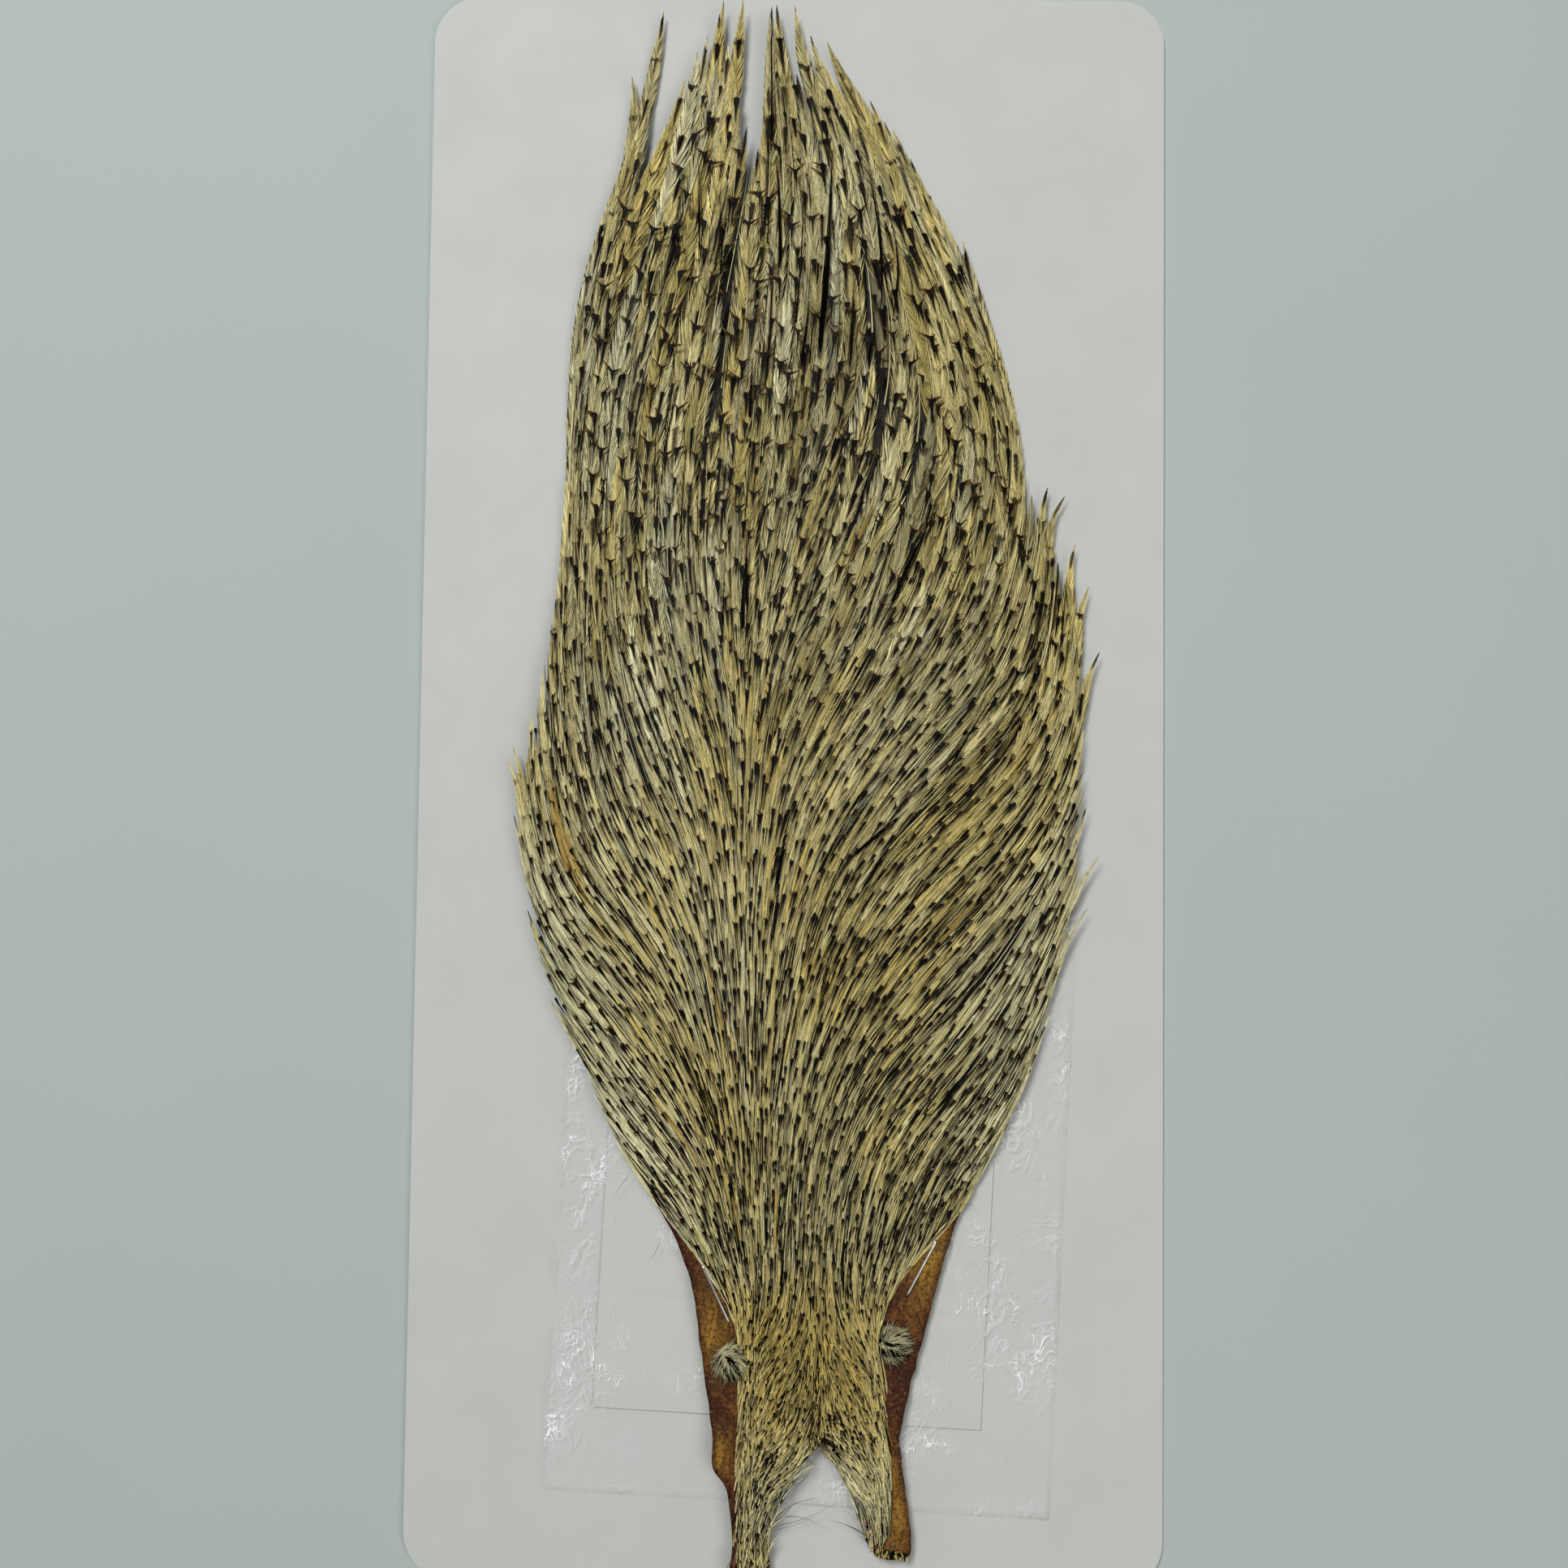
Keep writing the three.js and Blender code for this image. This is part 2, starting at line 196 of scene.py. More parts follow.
# Places where such marks crowd together: x, y, spread across and along, and how many
CROWDED = [(8.6, -127.5, 3.0, 2.8, 70), (-2.2, -137.5, 2.0, 4.2, 60), (14, -130, 2.4, 2.4, 10)]

# Tips of the longest feathers: x, y, length, half width
LONG_TIPS = [
    (-34.5, 144.9, 60, 2.2), (-28.1, 158.6, 64, 1.8), (-23.3, 143.8, 58, 2.4), (-20.8, 149.6, 60, 2.3),
    (-18.8, 153.2, 60, 2.2), (-16.4, 157.5, 62, 2.2), (-15.6, 160.3, 64, 2.0), (-11.5, 160.4, 64, 1.9),
    (-12.8, 141.5, 56, 2.2), (-10.4, 133.4, 56, 2.2), (-25.6, 136, 56, 2.5), (-30.5, 139, 56, 2.3),
    (-5.6, 158.9, 62, 1.5), (-4.6, 159.6, 64, 2.0), (-0.8, 159.2, 62, 2.3), (2.5, 153.3, 62, 2.4),
    (6, 152, 62, 2.0), (-3.2, 146, 58, 2.4), (9.0, 145.5, 58, 2.2), (11.4, 141.5, 58, 2.2),
    (15, 139.7, 58, 2.2), (17.9, 135.4, 58, 2.3), (19.7, 133.7, 58, 2.3), (23.4, 127.5, 56, 2.4),
    (24.7, 123.3, 56, 2.4), (27.1, 120.4, 56, 2.4), (30.4, 112.6, 54, 2.4), (-33.4, 131, 54, 2.4),
    (-31.4, 136, 56, 2.3), (-36.5, 123, 52, 2.4), (21.2, 126, 54, 2.4), (16.4, 130, 56, 2.4),
    (12.2, 134, 56, 2.4), (8.2, 138, 56, 2.3), (3.8, 144, 58, 2.3), (25.2, 117, 54, 2.4),
    (-14.5, 151, 58, 2.0), (-13.8, 139, 56, 2.4), (-13.2, 146, 58, 2.2), (4.8, 148, 58, 2.0),
    (6.6, 136, 56, 2.2), (26.4, 108, 52, 2.4), (24.2, 112, 52, 2.4), (28.4, 104, 50, 2.3),
    (5.4, 128, 52, 2.2), (-16.8, 148, 58, 2.2), (-8.0, 128.6, 52, 2.2), (-6.8, 137, 54, 2.0),
    (-6.0, 148, 56, 1.9), (0.6, 137, 54, 2.2), (1.2, 129, 52, 2.2), (0.3, 121, 50, 2.2),
    (2.4, 141, 56, 2.0),
]

# Single feathers that stand off the rim
STRAY_TIPS = [
    (-56.4, 4.9), (-57.4, 2.3), (-55.9, -9), (62.6, 25.5), (62.7, -15.6), (60.2, -26.3), (34.4, 110.3),
    (52.0, 59.3), (55.6, 57.7), (60.4, 38.9), (57.6, 47.5), (45.4, 74), (-46.6, 60), (56.4, 30),
    (54.8, 36), (57.6, 23), (58.2, 14),
]

# Feathers that catch the eye, by x, y, length and half width: those with a black line along the shaft,
# near-black ones laid along partings as painted shade of the gaps, and amber ones
BLACK_LINES = [
    (6.0, 152, 26, 1.4), (-5.9, 157.5, 34, 1.4), (1.8, 74, 17, 1.4), (-14, 121, 17, 1.4),
    (-4.5, 105, 28, 1.5), (-21, 58, 26, 1.0), (22, 8, 24, 0.8), (31, 52, 26, 1.1),
    (-28, -6, 20, 0.7), (13, -40, 18, 0.6), (-17, -60, 16, 0.5), (20, -74, 14, 0.5),
]
PAINTED_SHADE_PARTINGS = [
    (11.1, -10, 11, 0.5), (-1.8, -23, 10, 0.4), (-9.3, 43, 14, 0.5), (37.5, -58, 9, 0.5), (3.0, 96, 14, 0.4),
    (-8.5, 84, 12, 0.4),
]
AMBER_ONES = [
    (-48.6, -1, 38, 1.3), (-47.4, -4, 35, 1.2), (-46.6, -8, 32, 1.0), (37.3, -25.1, 22, 0.6),
    (-17, -36, 16, 0.45), (-3.9, 4.5, 12, 0.5), (16.8, 56, 14, 0.6), (-10.5, -84, 9, 0.35),
    (-1.7, -82, 12, 0.35), (-27, -64, 20, 0.4),
]

# Places where the coat is darker or warmer than elsewhere: x, y, spread across and along, and how much
TONE_PATCHES = [
    (8, 88, 10, 26, -0.15), (-4, 96, 5, 20, -0.12), (-4, 20, 5, 24, -0.08), (9, -128, 5, 4, -0.4),
    (-2, -138, 3.5, 6, -0.4), (6, -120, 16, 18, -0.14), (6, -148, 20, 14, -0.22),
]
WARM_PATCHES = [
    (6, -112, 12, 16, 0.22), (30, -20, 16, 30, 0.12), (-40, 10, 12, 60, -0.22), (-20, 130, 10, 20, 0.1),
    (6, -146, 14, 10, -0.38),
]

# The same for the skin
AMBER_SKIN = [
    (-16, -112, 3.5, 6, 0.8), (-13.8, -136.5, 1.6, 3.2, 1.3), (30, -98, 4, 7, 0.9), (23.5, -145, 2.2, 9, 0.8),
]
DARK_SKIN = [
    (24, -124, 3.5, 7, 0.8), (-20.5, -108, 2, 12, 0.7), (-12, -128, 3, 7, 0.25), (21, -99, 2.5, 4, 0.6),
]

# The pieces of the coat along the neck, by the lowest and highest of their tips
COAT_PIECES = [(-200, -108), (-108, -82), (-82, -50), (-50, -10), (-10, 40), (40, 300)]


def smooth_curve(at, knots, values):
    """Values between knots on Hermite curves, whose slopes are those of the neighbours' chords."""
    at = np.clip(at, knots[0], knots[-1])
    slopes = np.gradient(values, knots)
    left = np.clip(np.searchsorted(knots, at) - 1, 0, len(knots) - 2)
    span = knots[left + 1] - knots[left]
    t = (at - knots[left]) / span
    bend = t * t * (3 - 2 * t)
    ease_in = t * (1 - t) ** 2 * span * slopes[left]
    ease_out = t * t * (t - 1) * span * slopes[left + 1]
    return values[left] * (1 - bend) + values[left + 1] * bend + ease_in + ease_out


def unit(vectors):
    """The vectors, each made one long."""
    return vectors / np.linalg.norm(vectors, axis=-1, keepdims=True)


def smoothstep(value, low, high):
    t = np.clip((value - low) / (high - low), 0, 1)
    return t * t * (3 - 2 * t)


def ripple(x, y, wave, seed):
    """Smooth wander between about -1 and 1 over the card, made of a few sine waves of like length."""
    rng = np.random.default_rng(seed)
    waves = 7
    total = np.zeros(np.shape(x))
    for _ in range(waves):
        heading = rng.uniform(0, 2 * math.pi)
        number = 2 * math.pi / (wave * rng.uniform(0.7, 1.5))
        total = total + np.sin(number * (x * math.cos(heading) + y * math.sin(heading)) + rng.uniform(0, 6.3))
    return total / math.sqrt(waves)


def edges(y):
    """Left and right edge of the plumage at y."""
    return smooth_curve(y, PLUMAGE[:, 0], PLUMAGE[:, 1]), smooth_curve(y, PLUMAGE[:, 0], PLUMAGE[:, 2])


def at_height(table, y):
    """Left and right side of a table's stations at y."""
    return np.interp(y, table[:, 0], table[:, 1]), np.interp(y, table[:, 0], table[:, 2])


def in_tip_gap(x, y, room):
    """True in the gap between the long tips, or nearer to it than the room to be left."""
    left, right = at_height(TIP_GAP, y)
    return (y > TIP_GAP[0, 0] - 3) & (x > left - room) & (x < right + room)


def free_tips(x):
    """Height up to which the coat is closed at x: each long feather covers a narrow peak below its tip."""
    tip_x, tip_y = np.array(LONG_TIPS).T[:2]
    aside = np.abs(np.subtract.outer(np.clip(x, tip_x.min(), tip_x.max()), tip_x))
    return np.max(tip_y - TIP_STEEPNESS * aside, axis=-1)


def closed_coat(x, y, below, room):
    """True where the coat is closed, that far below the tips, and not by their gap or on the single tips."""
    single = (x < SINGLE_TIPS_X) & (y > SINGLE_TIPS_Y)
    return (y < free_tips(x) - below) & ~in_tip_gap(x, y, room) & ~single


def from_rim(x, y):
    """Distance inwards from the outer line of the coat."""
    left, right = at_height(SILHOUETTE, y)
    return np.minimum(x - left, right - x)


def near_rim(x, y):
    """1 along the sides of the lower neck, where the feathers are greyer and barred across."""
    return smoothstep(-from_rim(x, y), -16, -5) * smoothstep(-y, -15, 25) * smoothstep(y, -98, -84)


def underside(y):
    """Level that the feathers lie on: the hide, and towards their tips the card."""
    return HIDE_BASE + (TIP_BASE - HIDE_BASE) * smoothstep(y, 2, 48)


def dome_height(x, y):
    left, right = edges(y)
    crown = smooth_curve(y, PLUMAGE[:, 0], PLUMAGE[:, 3])
    side = np.clip(np.abs(x - (left + right) / 2) / ((right - left) / 2), 0, 1)
    rim = underside(y) + RIM_DEPTH
    return rim + (crown - rim) * (1 - side ** 2.2) ** 0.8


def lobe_height(x, y):
    """Height of the feathers on the legs, and the hide's own level beside them."""
    height = np.full(np.shape(x), HIDE_TOP)
    for rows in LEG_LOBES:
        down = rows[::-1]
        middle, half, crown = (smooth_curve(y, down[:, 1], down[:, k]) for k in (0, 2, 3))
        side = np.clip(np.abs(x - middle) / half, 0, 1)
        height = np.maximum(height, HIDE_TOP + (crown - HIDE_TOP) * np.sqrt(1 - side ** 2))
    return height


def coat_height(x, y):
    """Top of the plumage: the dome on the neck, and the lobes on the legs below it."""
    neck = smoothstep(y, -133, -122)
    return neck * dome_height(x, y) + (1 - neck) * lobe_height(x, y)


def patches(x, y, spots):
    """Sum of soft round patches of x, y, spread across and along, and strength."""
    total = np.zeros(np.shape(x))
    for at_x, at_y, across, along, strength in spots:
        total = total + strength * np.exp(-0.5 * (((x - at_x) / across) ** 2 + ((y - at_y) / along) ** 2))
    return total


def lie(x, y):
    """Turn of the feathers from +Y to the right, in radians."""
    return np.radians(patches(x, y, LIE))


# Meshes

def mesh_piece(name, points, faces, finish, node, smooth=True):
    """A piece in metres from points in millimetres, which rides on the card's body and stands for a node."""
    mesh = bpy.data.meshes.new(name)
    faces = np.asarray(faces, np.int32)
    corners = faces.shape[1]
    mesh.vertices.add(len(points))
    mesh.vertices.foreach_set("co", (np.asarray(points, np.float32) * MM).ravel())
    mesh.loops.add(faces.size)
    mesh.loops.foreach_set("vertex_index", faces.ravel())
    mesh.polygons.add(len(faces))
    mesh.polygons.foreach_set("loop_start", np.arange(0, faces.size, corners, dtype=np.int32))
    mesh.polygons.foreach_set("use_smooth", np.full(len(faces), smooth))
    mesh.update(calc_edges=True)
    mesh.materials.append(finish)
    piece = bpy.data.objects.new(name, mesh)
    bpy.context.scene.collection.objects.link(piece)
    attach(piece, "root")
    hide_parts(node)
    return piece


def ring_faces(rings, size):
    """Faces between rings of points that lie one after another."""
    faces = []
    for ring in range(rings - 1):
        for i in range(size):
            a, b = ring * size + i, ring * size + (i + 1) % size
            faces += [(a, b, b + size), (a, b + size, a + size)]
    return faces


def thin_sheet(x, y, top, bottom, rows, columns, open_end=False):
    """Points and faces of a sheet on a grid, with walls round it, or round three of its sides."""
    size = rows * columns
    points = np.concatenate([np.stack([x, y, top], 1), np.stack([x, y, bottom], 1)])
    row, column = np.meshgrid(np.arange(rows - 1), np.arange(columns - 1), indexing="ij")
    corner = (row * columns + column).ravel()
    upper = np.stack([corner, corner + 1, corner + columns + 1, corner + columns], 1)
    faces = [*upper, *(upper[:, ::-1] + size)]
    lines = [range(columns), range(columns - 1, size, columns), range(size - columns, -1, -columns)]
    if not open_end:
        lines.append(range(size - 1, size - columns - 1, -1))
    for line in lines:
        for a, b in zip(line[:-1], line[1:]):
            faces.append((a, a + size, b + size, b))
    return points, faces


def give(mesh, name, values):
    """Stores a vector for each point of a mesh, for its finish to read."""
    layer = mesh.attributes.new(name, "FLOAT_VECTOR", "POINT")
    layer.data.foreach_set("vector", np.asarray(values, np.float32).ravel())


# Finishes

def shade(code):
    """Linear colour of a painter's hex code."""
    parts = [int(code[i:i + 2], 16) / 255 for i in (0, 2, 4)]
    return tuple(((p + 0.055) / 1.055) ** 2.4 if p > 0.04045 else p / 12.92 for p in parts) + (1.0,)


class Field:
    """A value that changes over a surface: a socket in the nodes of a finish."""

    def __init__(self, finish, socket):
        self.finish = finish
        self.socket = socket

    def maths(self, operation, *others):
        return self.finish.node("ShaderNodeMath", {"operation": operation}, dict(enumerate((self, *others))))

    def __add__(self, other):
        return self.maths("ADD", other)

    __radd__ = __add__

    def __sub__(self, other):
        return self.maths("SUBTRACT", other)

    def __rsub__(self, other):
        return (self * -1) + other

    def __mul__(self, other):
        return self.maths("MULTIPLY", other)

    __rmul__ = __mul__

    def __truediv__(self, other):
        return self.maths("DIVIDE", other)

    def __abs__(self):
        return self.maths("ABSOLUTE")

    def fraction(self):
        return self.maths("FRACT")

    def floor(self):
        return self.maths("FLOOR")

    def power(self, exponent):
        return self.maths("POWER", exponent)

    def least(self, other):
        return self.maths("MINIMUM", other)

    def most(self, other):
        return self.maths("MAXIMUM", other)

    def step(self, low, high):
        """0 below low and 1 above high, with a smooth way between; falls where low is above high."""
        values = {0: self, 1: min(low, high), 2: max(low, high), 3: float(low > high), 4: float(high > low)}
        return self.finish.node("ShaderNodeMapRange", {"interpolation_type": "SMOOTHSTEP"}, values)


class Finish:
    """A material and the nodes that make it."""

    def __init__(self, name):
        self.material = bpy.data.materials.new(name)
        self.material.use_nodes = True
        self.tree = self.material.node_tree
        self.tree.nodes.clear()

    def node(self, kind, settings=None, inputs=None, output=0):
        made = self.tree.nodes.new(kind)
        for key, value in (settings or {}).items():
            if key == "stops":
                self.set_stops(made.color_ramp, value)
            else:
                setattr(made, key, value)
        for key, value in (inputs or {}).items():
            if isinstance(value, Field):
                self.tree.links.new(value.socket, made.inputs[key])
            else:
                made.inputs[key].default_value = value
        return Field(self, made.outputs[output])

    @staticmethod
    def set_stops(ramp, stops):
        while len(ramp.elements) < len(stops):
            ramp.elements.new(1.0)
        for element, (place, colour) in zip(ramp.elements, stops):
            element.position = place
            element.color = colour

    def parts(self, attribute):
        """The three numbers stored at each point under a name."""
        return self.split(self.node("ShaderNodeAttribute", {"attribute_name": attribute}, output="Vector"))

    def split(self, vector):
        return [self.node("ShaderNodeSeparateXYZ", None, {0: vector}, output=k) for k in range(3)]

    def spot(self):
        """The place on the part, in metres."""
        return self.node("ShaderNodeTexCoord", output="Object")

    def stretched(self, vector, scale):
        return self.node("ShaderNodeVectorMath", {"operation": "MULTIPLY"}, {0: vector, 1: scale})

    def vector(self, x, y, z):
        return self.node("ShaderNodeCombineXYZ", None, {0: x, 1: y, 2: z})

    def noise(self, vector, scale, detail=3.0, roughness=0.5, distortion=0.0):
        values = {"Vector": vector, "Scale": scale, "Detail": detail, "Roughness": roughness}
        return self.node("ShaderNodeTexNoise", None, {**values, "Distortion": distortion})

    def chances(self, vector):
        """Three numbers from 0 to 1 drawn for each value of a vector."""
        settings = {"noise_dimensions": "3D"}
        return self.split(self.node("ShaderNodeTexWhiteNoise", settings, {"Vector": vector}, output="Color"))

    def mix(self, factor, first, second, blend="MIX"):
        settings = {"data_type": "RGBA", "blend_type": blend}
        return self.node("ShaderNodeMix", settings, {0: factor, 6: first, 7: second}, output=2)

    def layered(self, colour, layers):
        """A colour under others, given by their shares and codes."""
        for share, code in layers:
            colour = self.mix(share, colour, shade(code))
        return colour

    def ramp(self, factor, stops):
        return self.node("ShaderNodeValToRGB", {"stops": stops}, {0: factor})

    def bump(self, height, strength, distance):
        values = {"Height": height, "Strength": strength, "Distance": distance}
        return self.node("ShaderNodeBump", None, values)

    def surface(self, **sockets):
        """The body shader, whose sockets are given by their names with _ for a space."""
        inputs = {name.replace("_", " "): value for name, value in sockets.items()}
        return self.node("ShaderNodeBsdfPrincipled", None, inputs)

    def done(self, shader):
        output = self.tree.nodes.new("ShaderNodeOutputMaterial")
        self.tree.links.new(shader.socket, output.inputs["Surface"])
        return self.material


def feather_finish():
    """Straw and cream barbs with dark bars: a black wedge down the shaft, and two brown arms at its head."""
    finish = Finish("barred_hackle")
    across, from_tip, along = finish.parts("feather_place")
    period, phase, arm_strength = finish.parts("feather_bars")
    streak, streak_share, arm_slope = finish.parts("feather_streak")
    tone, warmth, dark = finish.parts("feather_tint")
    side = abs(across)
    turns = from_tip / period + phase
    wander = finish.noise(finish.vector(across, from_tip, phase * 9.1), 0.8, 2.0) - 0.5

    line = turns + wander * 0.10
    wide, long, shown = finish.chances(finish.vector(line.floor(), phase, 1.0))
    past = line.fraction()
    left = (1 - past / (streak_share * (long * 0.7 + 0.65))).most(0.0)
    growing = (past * period).step(-0.10, 0.30)
    wedge_width = streak * (wide * 0.9 + 0.6) * left.power(0.75) * growing * shown.step(0.42, 0.50)
    wedge = (wedge_width - side).step(-0.02, 0.06) * wedge_width.step(0.0, 0.05)
    halo = (wedge_width * 1.3 + 0.12 - side).step(-0.14, 0.10) * wedge_width.step(0.0, 0.08)

    bar = turns + side * arm_slope / period + wander * 0.26
    heavy, tilted, seen = finish.chances(finish.vector(bar.floor(), phase, 2.0))
    behind = bar.fraction() * period
    thick = (streak * 1.9 + 0.35) * (heavy * 0.9 + 0.55) - side * (tilted * 0.22 + 0.10)
    arms = behind.step(0.0, 0.22) * (thick - behind).step(-0.15, 0.25) * side.step(3.4, 1.2)
    arms = (arms * arm_strength * 1.5).least(1.0) * seen.step(0.50, 0.58)

    straw = finish.mix(warmth, shade("DEDCB8"), shade("DAC474"))
    straw = finish.mix((warmth - 0.95).step(0.0, 0.7), straw, shade("B47E2A"))
    fine = finish.noise(finish.vector(across * 6.0, from_tip * 0.5, phase * 3.7), 1.0, 2.0)
    straw = finish.mix(fine.step(0.38, 0.7) * 0.45, straw, shade("8E7F48"))
    # The third number of each point's place is painted shade: it darkens the edges of a vane, where feathers
    # overlap, and lightens the middle of a shaft or hair.
    lightness_with_painted_shade = (tone * (1 - dark * 0.92) * along.step(0.0, 0.30) * (0.66 + along * 0.36)).most(0.0)
    straw = finish.mix(1.0, straw, finish.vector(lightness_with_painted_shade, lightness_with_painted_shade, lightness_with_painted_shade), "MULTIPLY")
    straw = finish.mix(halo * 0.6, straw, shade("5E3F1A"))
    rust = finish.mix(arms.step(0.3, 0.9) * side.step(4.5, 0.6), shade("64401B"), shade("120A06"))
    marked = finish.mix(arms, straw, rust)
    marked = finish.mix(wedge * 0.98, marked, shade("070504"))
    marked = finish.mix(dark, marked, shade("080605"))
    rough = 0.5 + fine * 0.2
    shader = finish.surface(Base_Color=marked, Roughness=rough, Specular_IOR_Level=0.09)
    return finish.done(shader)


def down_and_shade_finish():
    # Grey down, near black so that it also stands as painted shade between the feathers where it shows.
    finish = Finish("grey_down_and_painted_shade")
    fluff = finish.noise(finish.stretched(finish.spot(), (1.0, 0.35, 1.0)), 900.0, 4.0, 0.6)
    colour = finish.ramp(fluff, [(0.3, shade("141210")), (0.55, shade("2E2A22")), (0.75, shade("5A533F"))])
    bump = finish.bump(fluff, 0.8, 0.0006)
    return finish.done(finish.surface(Base_Color=colour, Roughness=0.9, Normal=bump))


def hide_finish():
    """Dried skin: amber where it is thin, dark red-brown as painted shade in the low folds of its bump, with
    a dull varnish of its own fat.
    """
    finish = Finish("dried_hide")
    spot = finish.spot()
    from_edge, amber, dark = finish.parts("hide_marks")
    cloud = finish.noise(spot, 150.0, 5.0, 0.65, 0.8)
    folds = finish.noise(finish.stretched(spot, (3.2, 0.9, 1.0)), 260.0, 5.0, 0.65, 1.2)
    grain = finish.noise(spot, 1500.0, 3.0, 0.6)
    colour = finish.ramp(cloud, [
        (0.30, shade("2C1408")), (0.44, shade("50280F")), (0.56, shade("764514")), (0.72, shade("93662C")),
    ])
    # The folds' share below paints shade into the low parts of the bump.
    colour = finish.layered(colour, [
        (amber * (0.55 + cloud * 0.6), "C08F35"), (dark * 0.85, "3A1B12"),
        (from_edge.step(2.0, 0.1) * 0.7, "431A0D"), (folds.step(0.54, 0.40) * 0.6, "34140A"),
        (grain.step(0.50, 0.60) * 0.6, "200D07"), (grain.step(0.42, 0.34) * 0.35, "A8834E"),
    ])
    height = folds * 0.8 + grain * 0.3
    bump = finish.bump(height, 0.8, 0.0006)
    rough = 0.42 + cloud * 0.25
    shader = finish.surface(Base_Color=colour, Roughness=rough, Normal=bump, Specular_IOR_Level=0.22)
    return finish.done(shader)


def card_finish():
    finish = Finish("coated_card")
    spot = finish.spot()
    mottle = finish.noise(spot, 60.0, 4.0, 0.55)
    fibre = finish.noise(finish.stretched(spot, (1.0, 2.4, 1.0)), 1500.0, 3.0, 0.6)
    colour = finish.mix(mottle.step(0.3, 0.75) * 0.35 + fibre * 0.12, shade("D6D7D2"), shade("C9CBC5"))
    bump = finish.bump(fibre, 0.12, 0.0002)
    return finish.done(finish.surface(Base_Color=colour, Roughness=0.55 + mottle * 0.15, Normal=bump))


def paper_finish():
    finish = Finish("insert_paper")
    spot = finish.spot()
    fibre = finish.noise(spot, 1900.0, 4.0, 0.65)
    cloud = finish.noise(spot, 90.0, 3.0)
    colour = finish.mix(fibre * 0.3 + cloud * 0.3, shade("D8D9D2"), shade("CDCFC8"))
    bump = finish.bump(fibre, 0.2, 0.0002)
    return finish.done(finish.surface(Base_Color=colour, Roughness=0.8, Normal=bump))


def film_finish():
    """Thin clear film: mostly a clear way through and faintly hazy, with whiter ridges that are painted
    highlights and small glowing sparkles that are painted glints.
    """
    finish = Finish("clear_film")
    spot = finish.spot()
    crease = finish.noise(finish.stretched(spot, (1.0, 0.8, 1.0)), 130.0, 2.0, 0.5, 1.8)
    painted_highlight_ridge = abs(crease - 0.5).step(0.035, 0.0)
    patch = finish.noise(spot, 55.0, 2.0)
    wave = finish.noise(finish.stretched(spot, (1.0, 0.45, 1.0)), 240.0, 2.0, 0.5, 2.0)
    painted_glint_mask = abs(wave - 0.5).step(0.022, 0.0) * patch.step(0.44, 0.60) * crease.step(0.47, 0.60)
    bump = finish.bump(crease, 0.3, 0.001)
    # Painted glints: the sparkles glow by emission, and the whiter ridges in the mix below are painted
    # highlights.
    painted_glint_colour = finish.mix(painted_glint_mask, shade("000000"), shade("F4F8FF"))
    gloss = finish.surface(Base_Color=shade("FFFFFF"), Roughness=0.2, Normal=bump, Emission_Color=painted_glint_colour,
                           Emission_Strength=0.35)
    clear = finish.node("ShaderNodeBsdfTransparent", None, {0: (0.998, 0.998, 0.998, 1.0)})
    cloudy = finish.noise(spot, 120.0, 1.0).step(0.48, 0.72) * 0.12
    haze_and_painted_highlight = (0.05 + cloudy + painted_highlight_ridge * patch.step(0.35, 0.65) * 0.32 + painted_glint_mask * 0.8).least(0.95)
    return finish.done(finish.node("ShaderNodeMixShader", None, {0: haze_and_painted_highlight, 1: clear, 2: gloss}))


def wire_finish():
    finish = Finish("staple_wire")
    spot = finish.spot()
    drawn = finish.noise(finish.stretched(spot, (1.0, 1.0, 6.0)), 2200.0, 3.0, 0.6)
    dull = finish.noise(spot, 420.0, 3.0)
    colour = finish.mix(dull.step(0.4, 0.7) * 0.5, shade("E4E4E2"), shade("A9ABAC"))
    bump = finish.bump(drawn, 0.15, 0.0001)
    rough = 0.22 + drawn * 0.2
    return finish.done(finish.surface(Base_Color=colour, Metallic=1.0, Roughness=rough, Normal=bump))


# Feathers

def drawn_in(spots, width):
    """Points of the feathers' lines, pulled inwards so that vanes this wide keep to the coat."""
    x, y = spots.T
    margin = 0.75 * width - 0.3
    left, right = at_height(SILHOUETTE, y)
    low, high = left + margin, right - margin
    for gap in (FORK, TIP_GAP):
        gap_left, gap_right = at_height(gap, y)
        beside = (y > gap[0, 0] - 1) & (y < gap[-1, 0] + 1)
        on_left = x < (gap_left + gap_right) / 2
        high = np.where(beside & on_left, np.minimum(high, gap_left - margin), high)
        low = np.where(beside & ~on_left, np.maximum(low, gap_right + margin), low)
    x = x + PULL * np.maximum(low - x, 0) - PULL * np.maximum(x - high, 0)
    return np.stack([x, np.maximum(y, np.where(x > LEGS_PART, RIGHT_LEG_ROOT, LOWEST_ROOT))], 1)


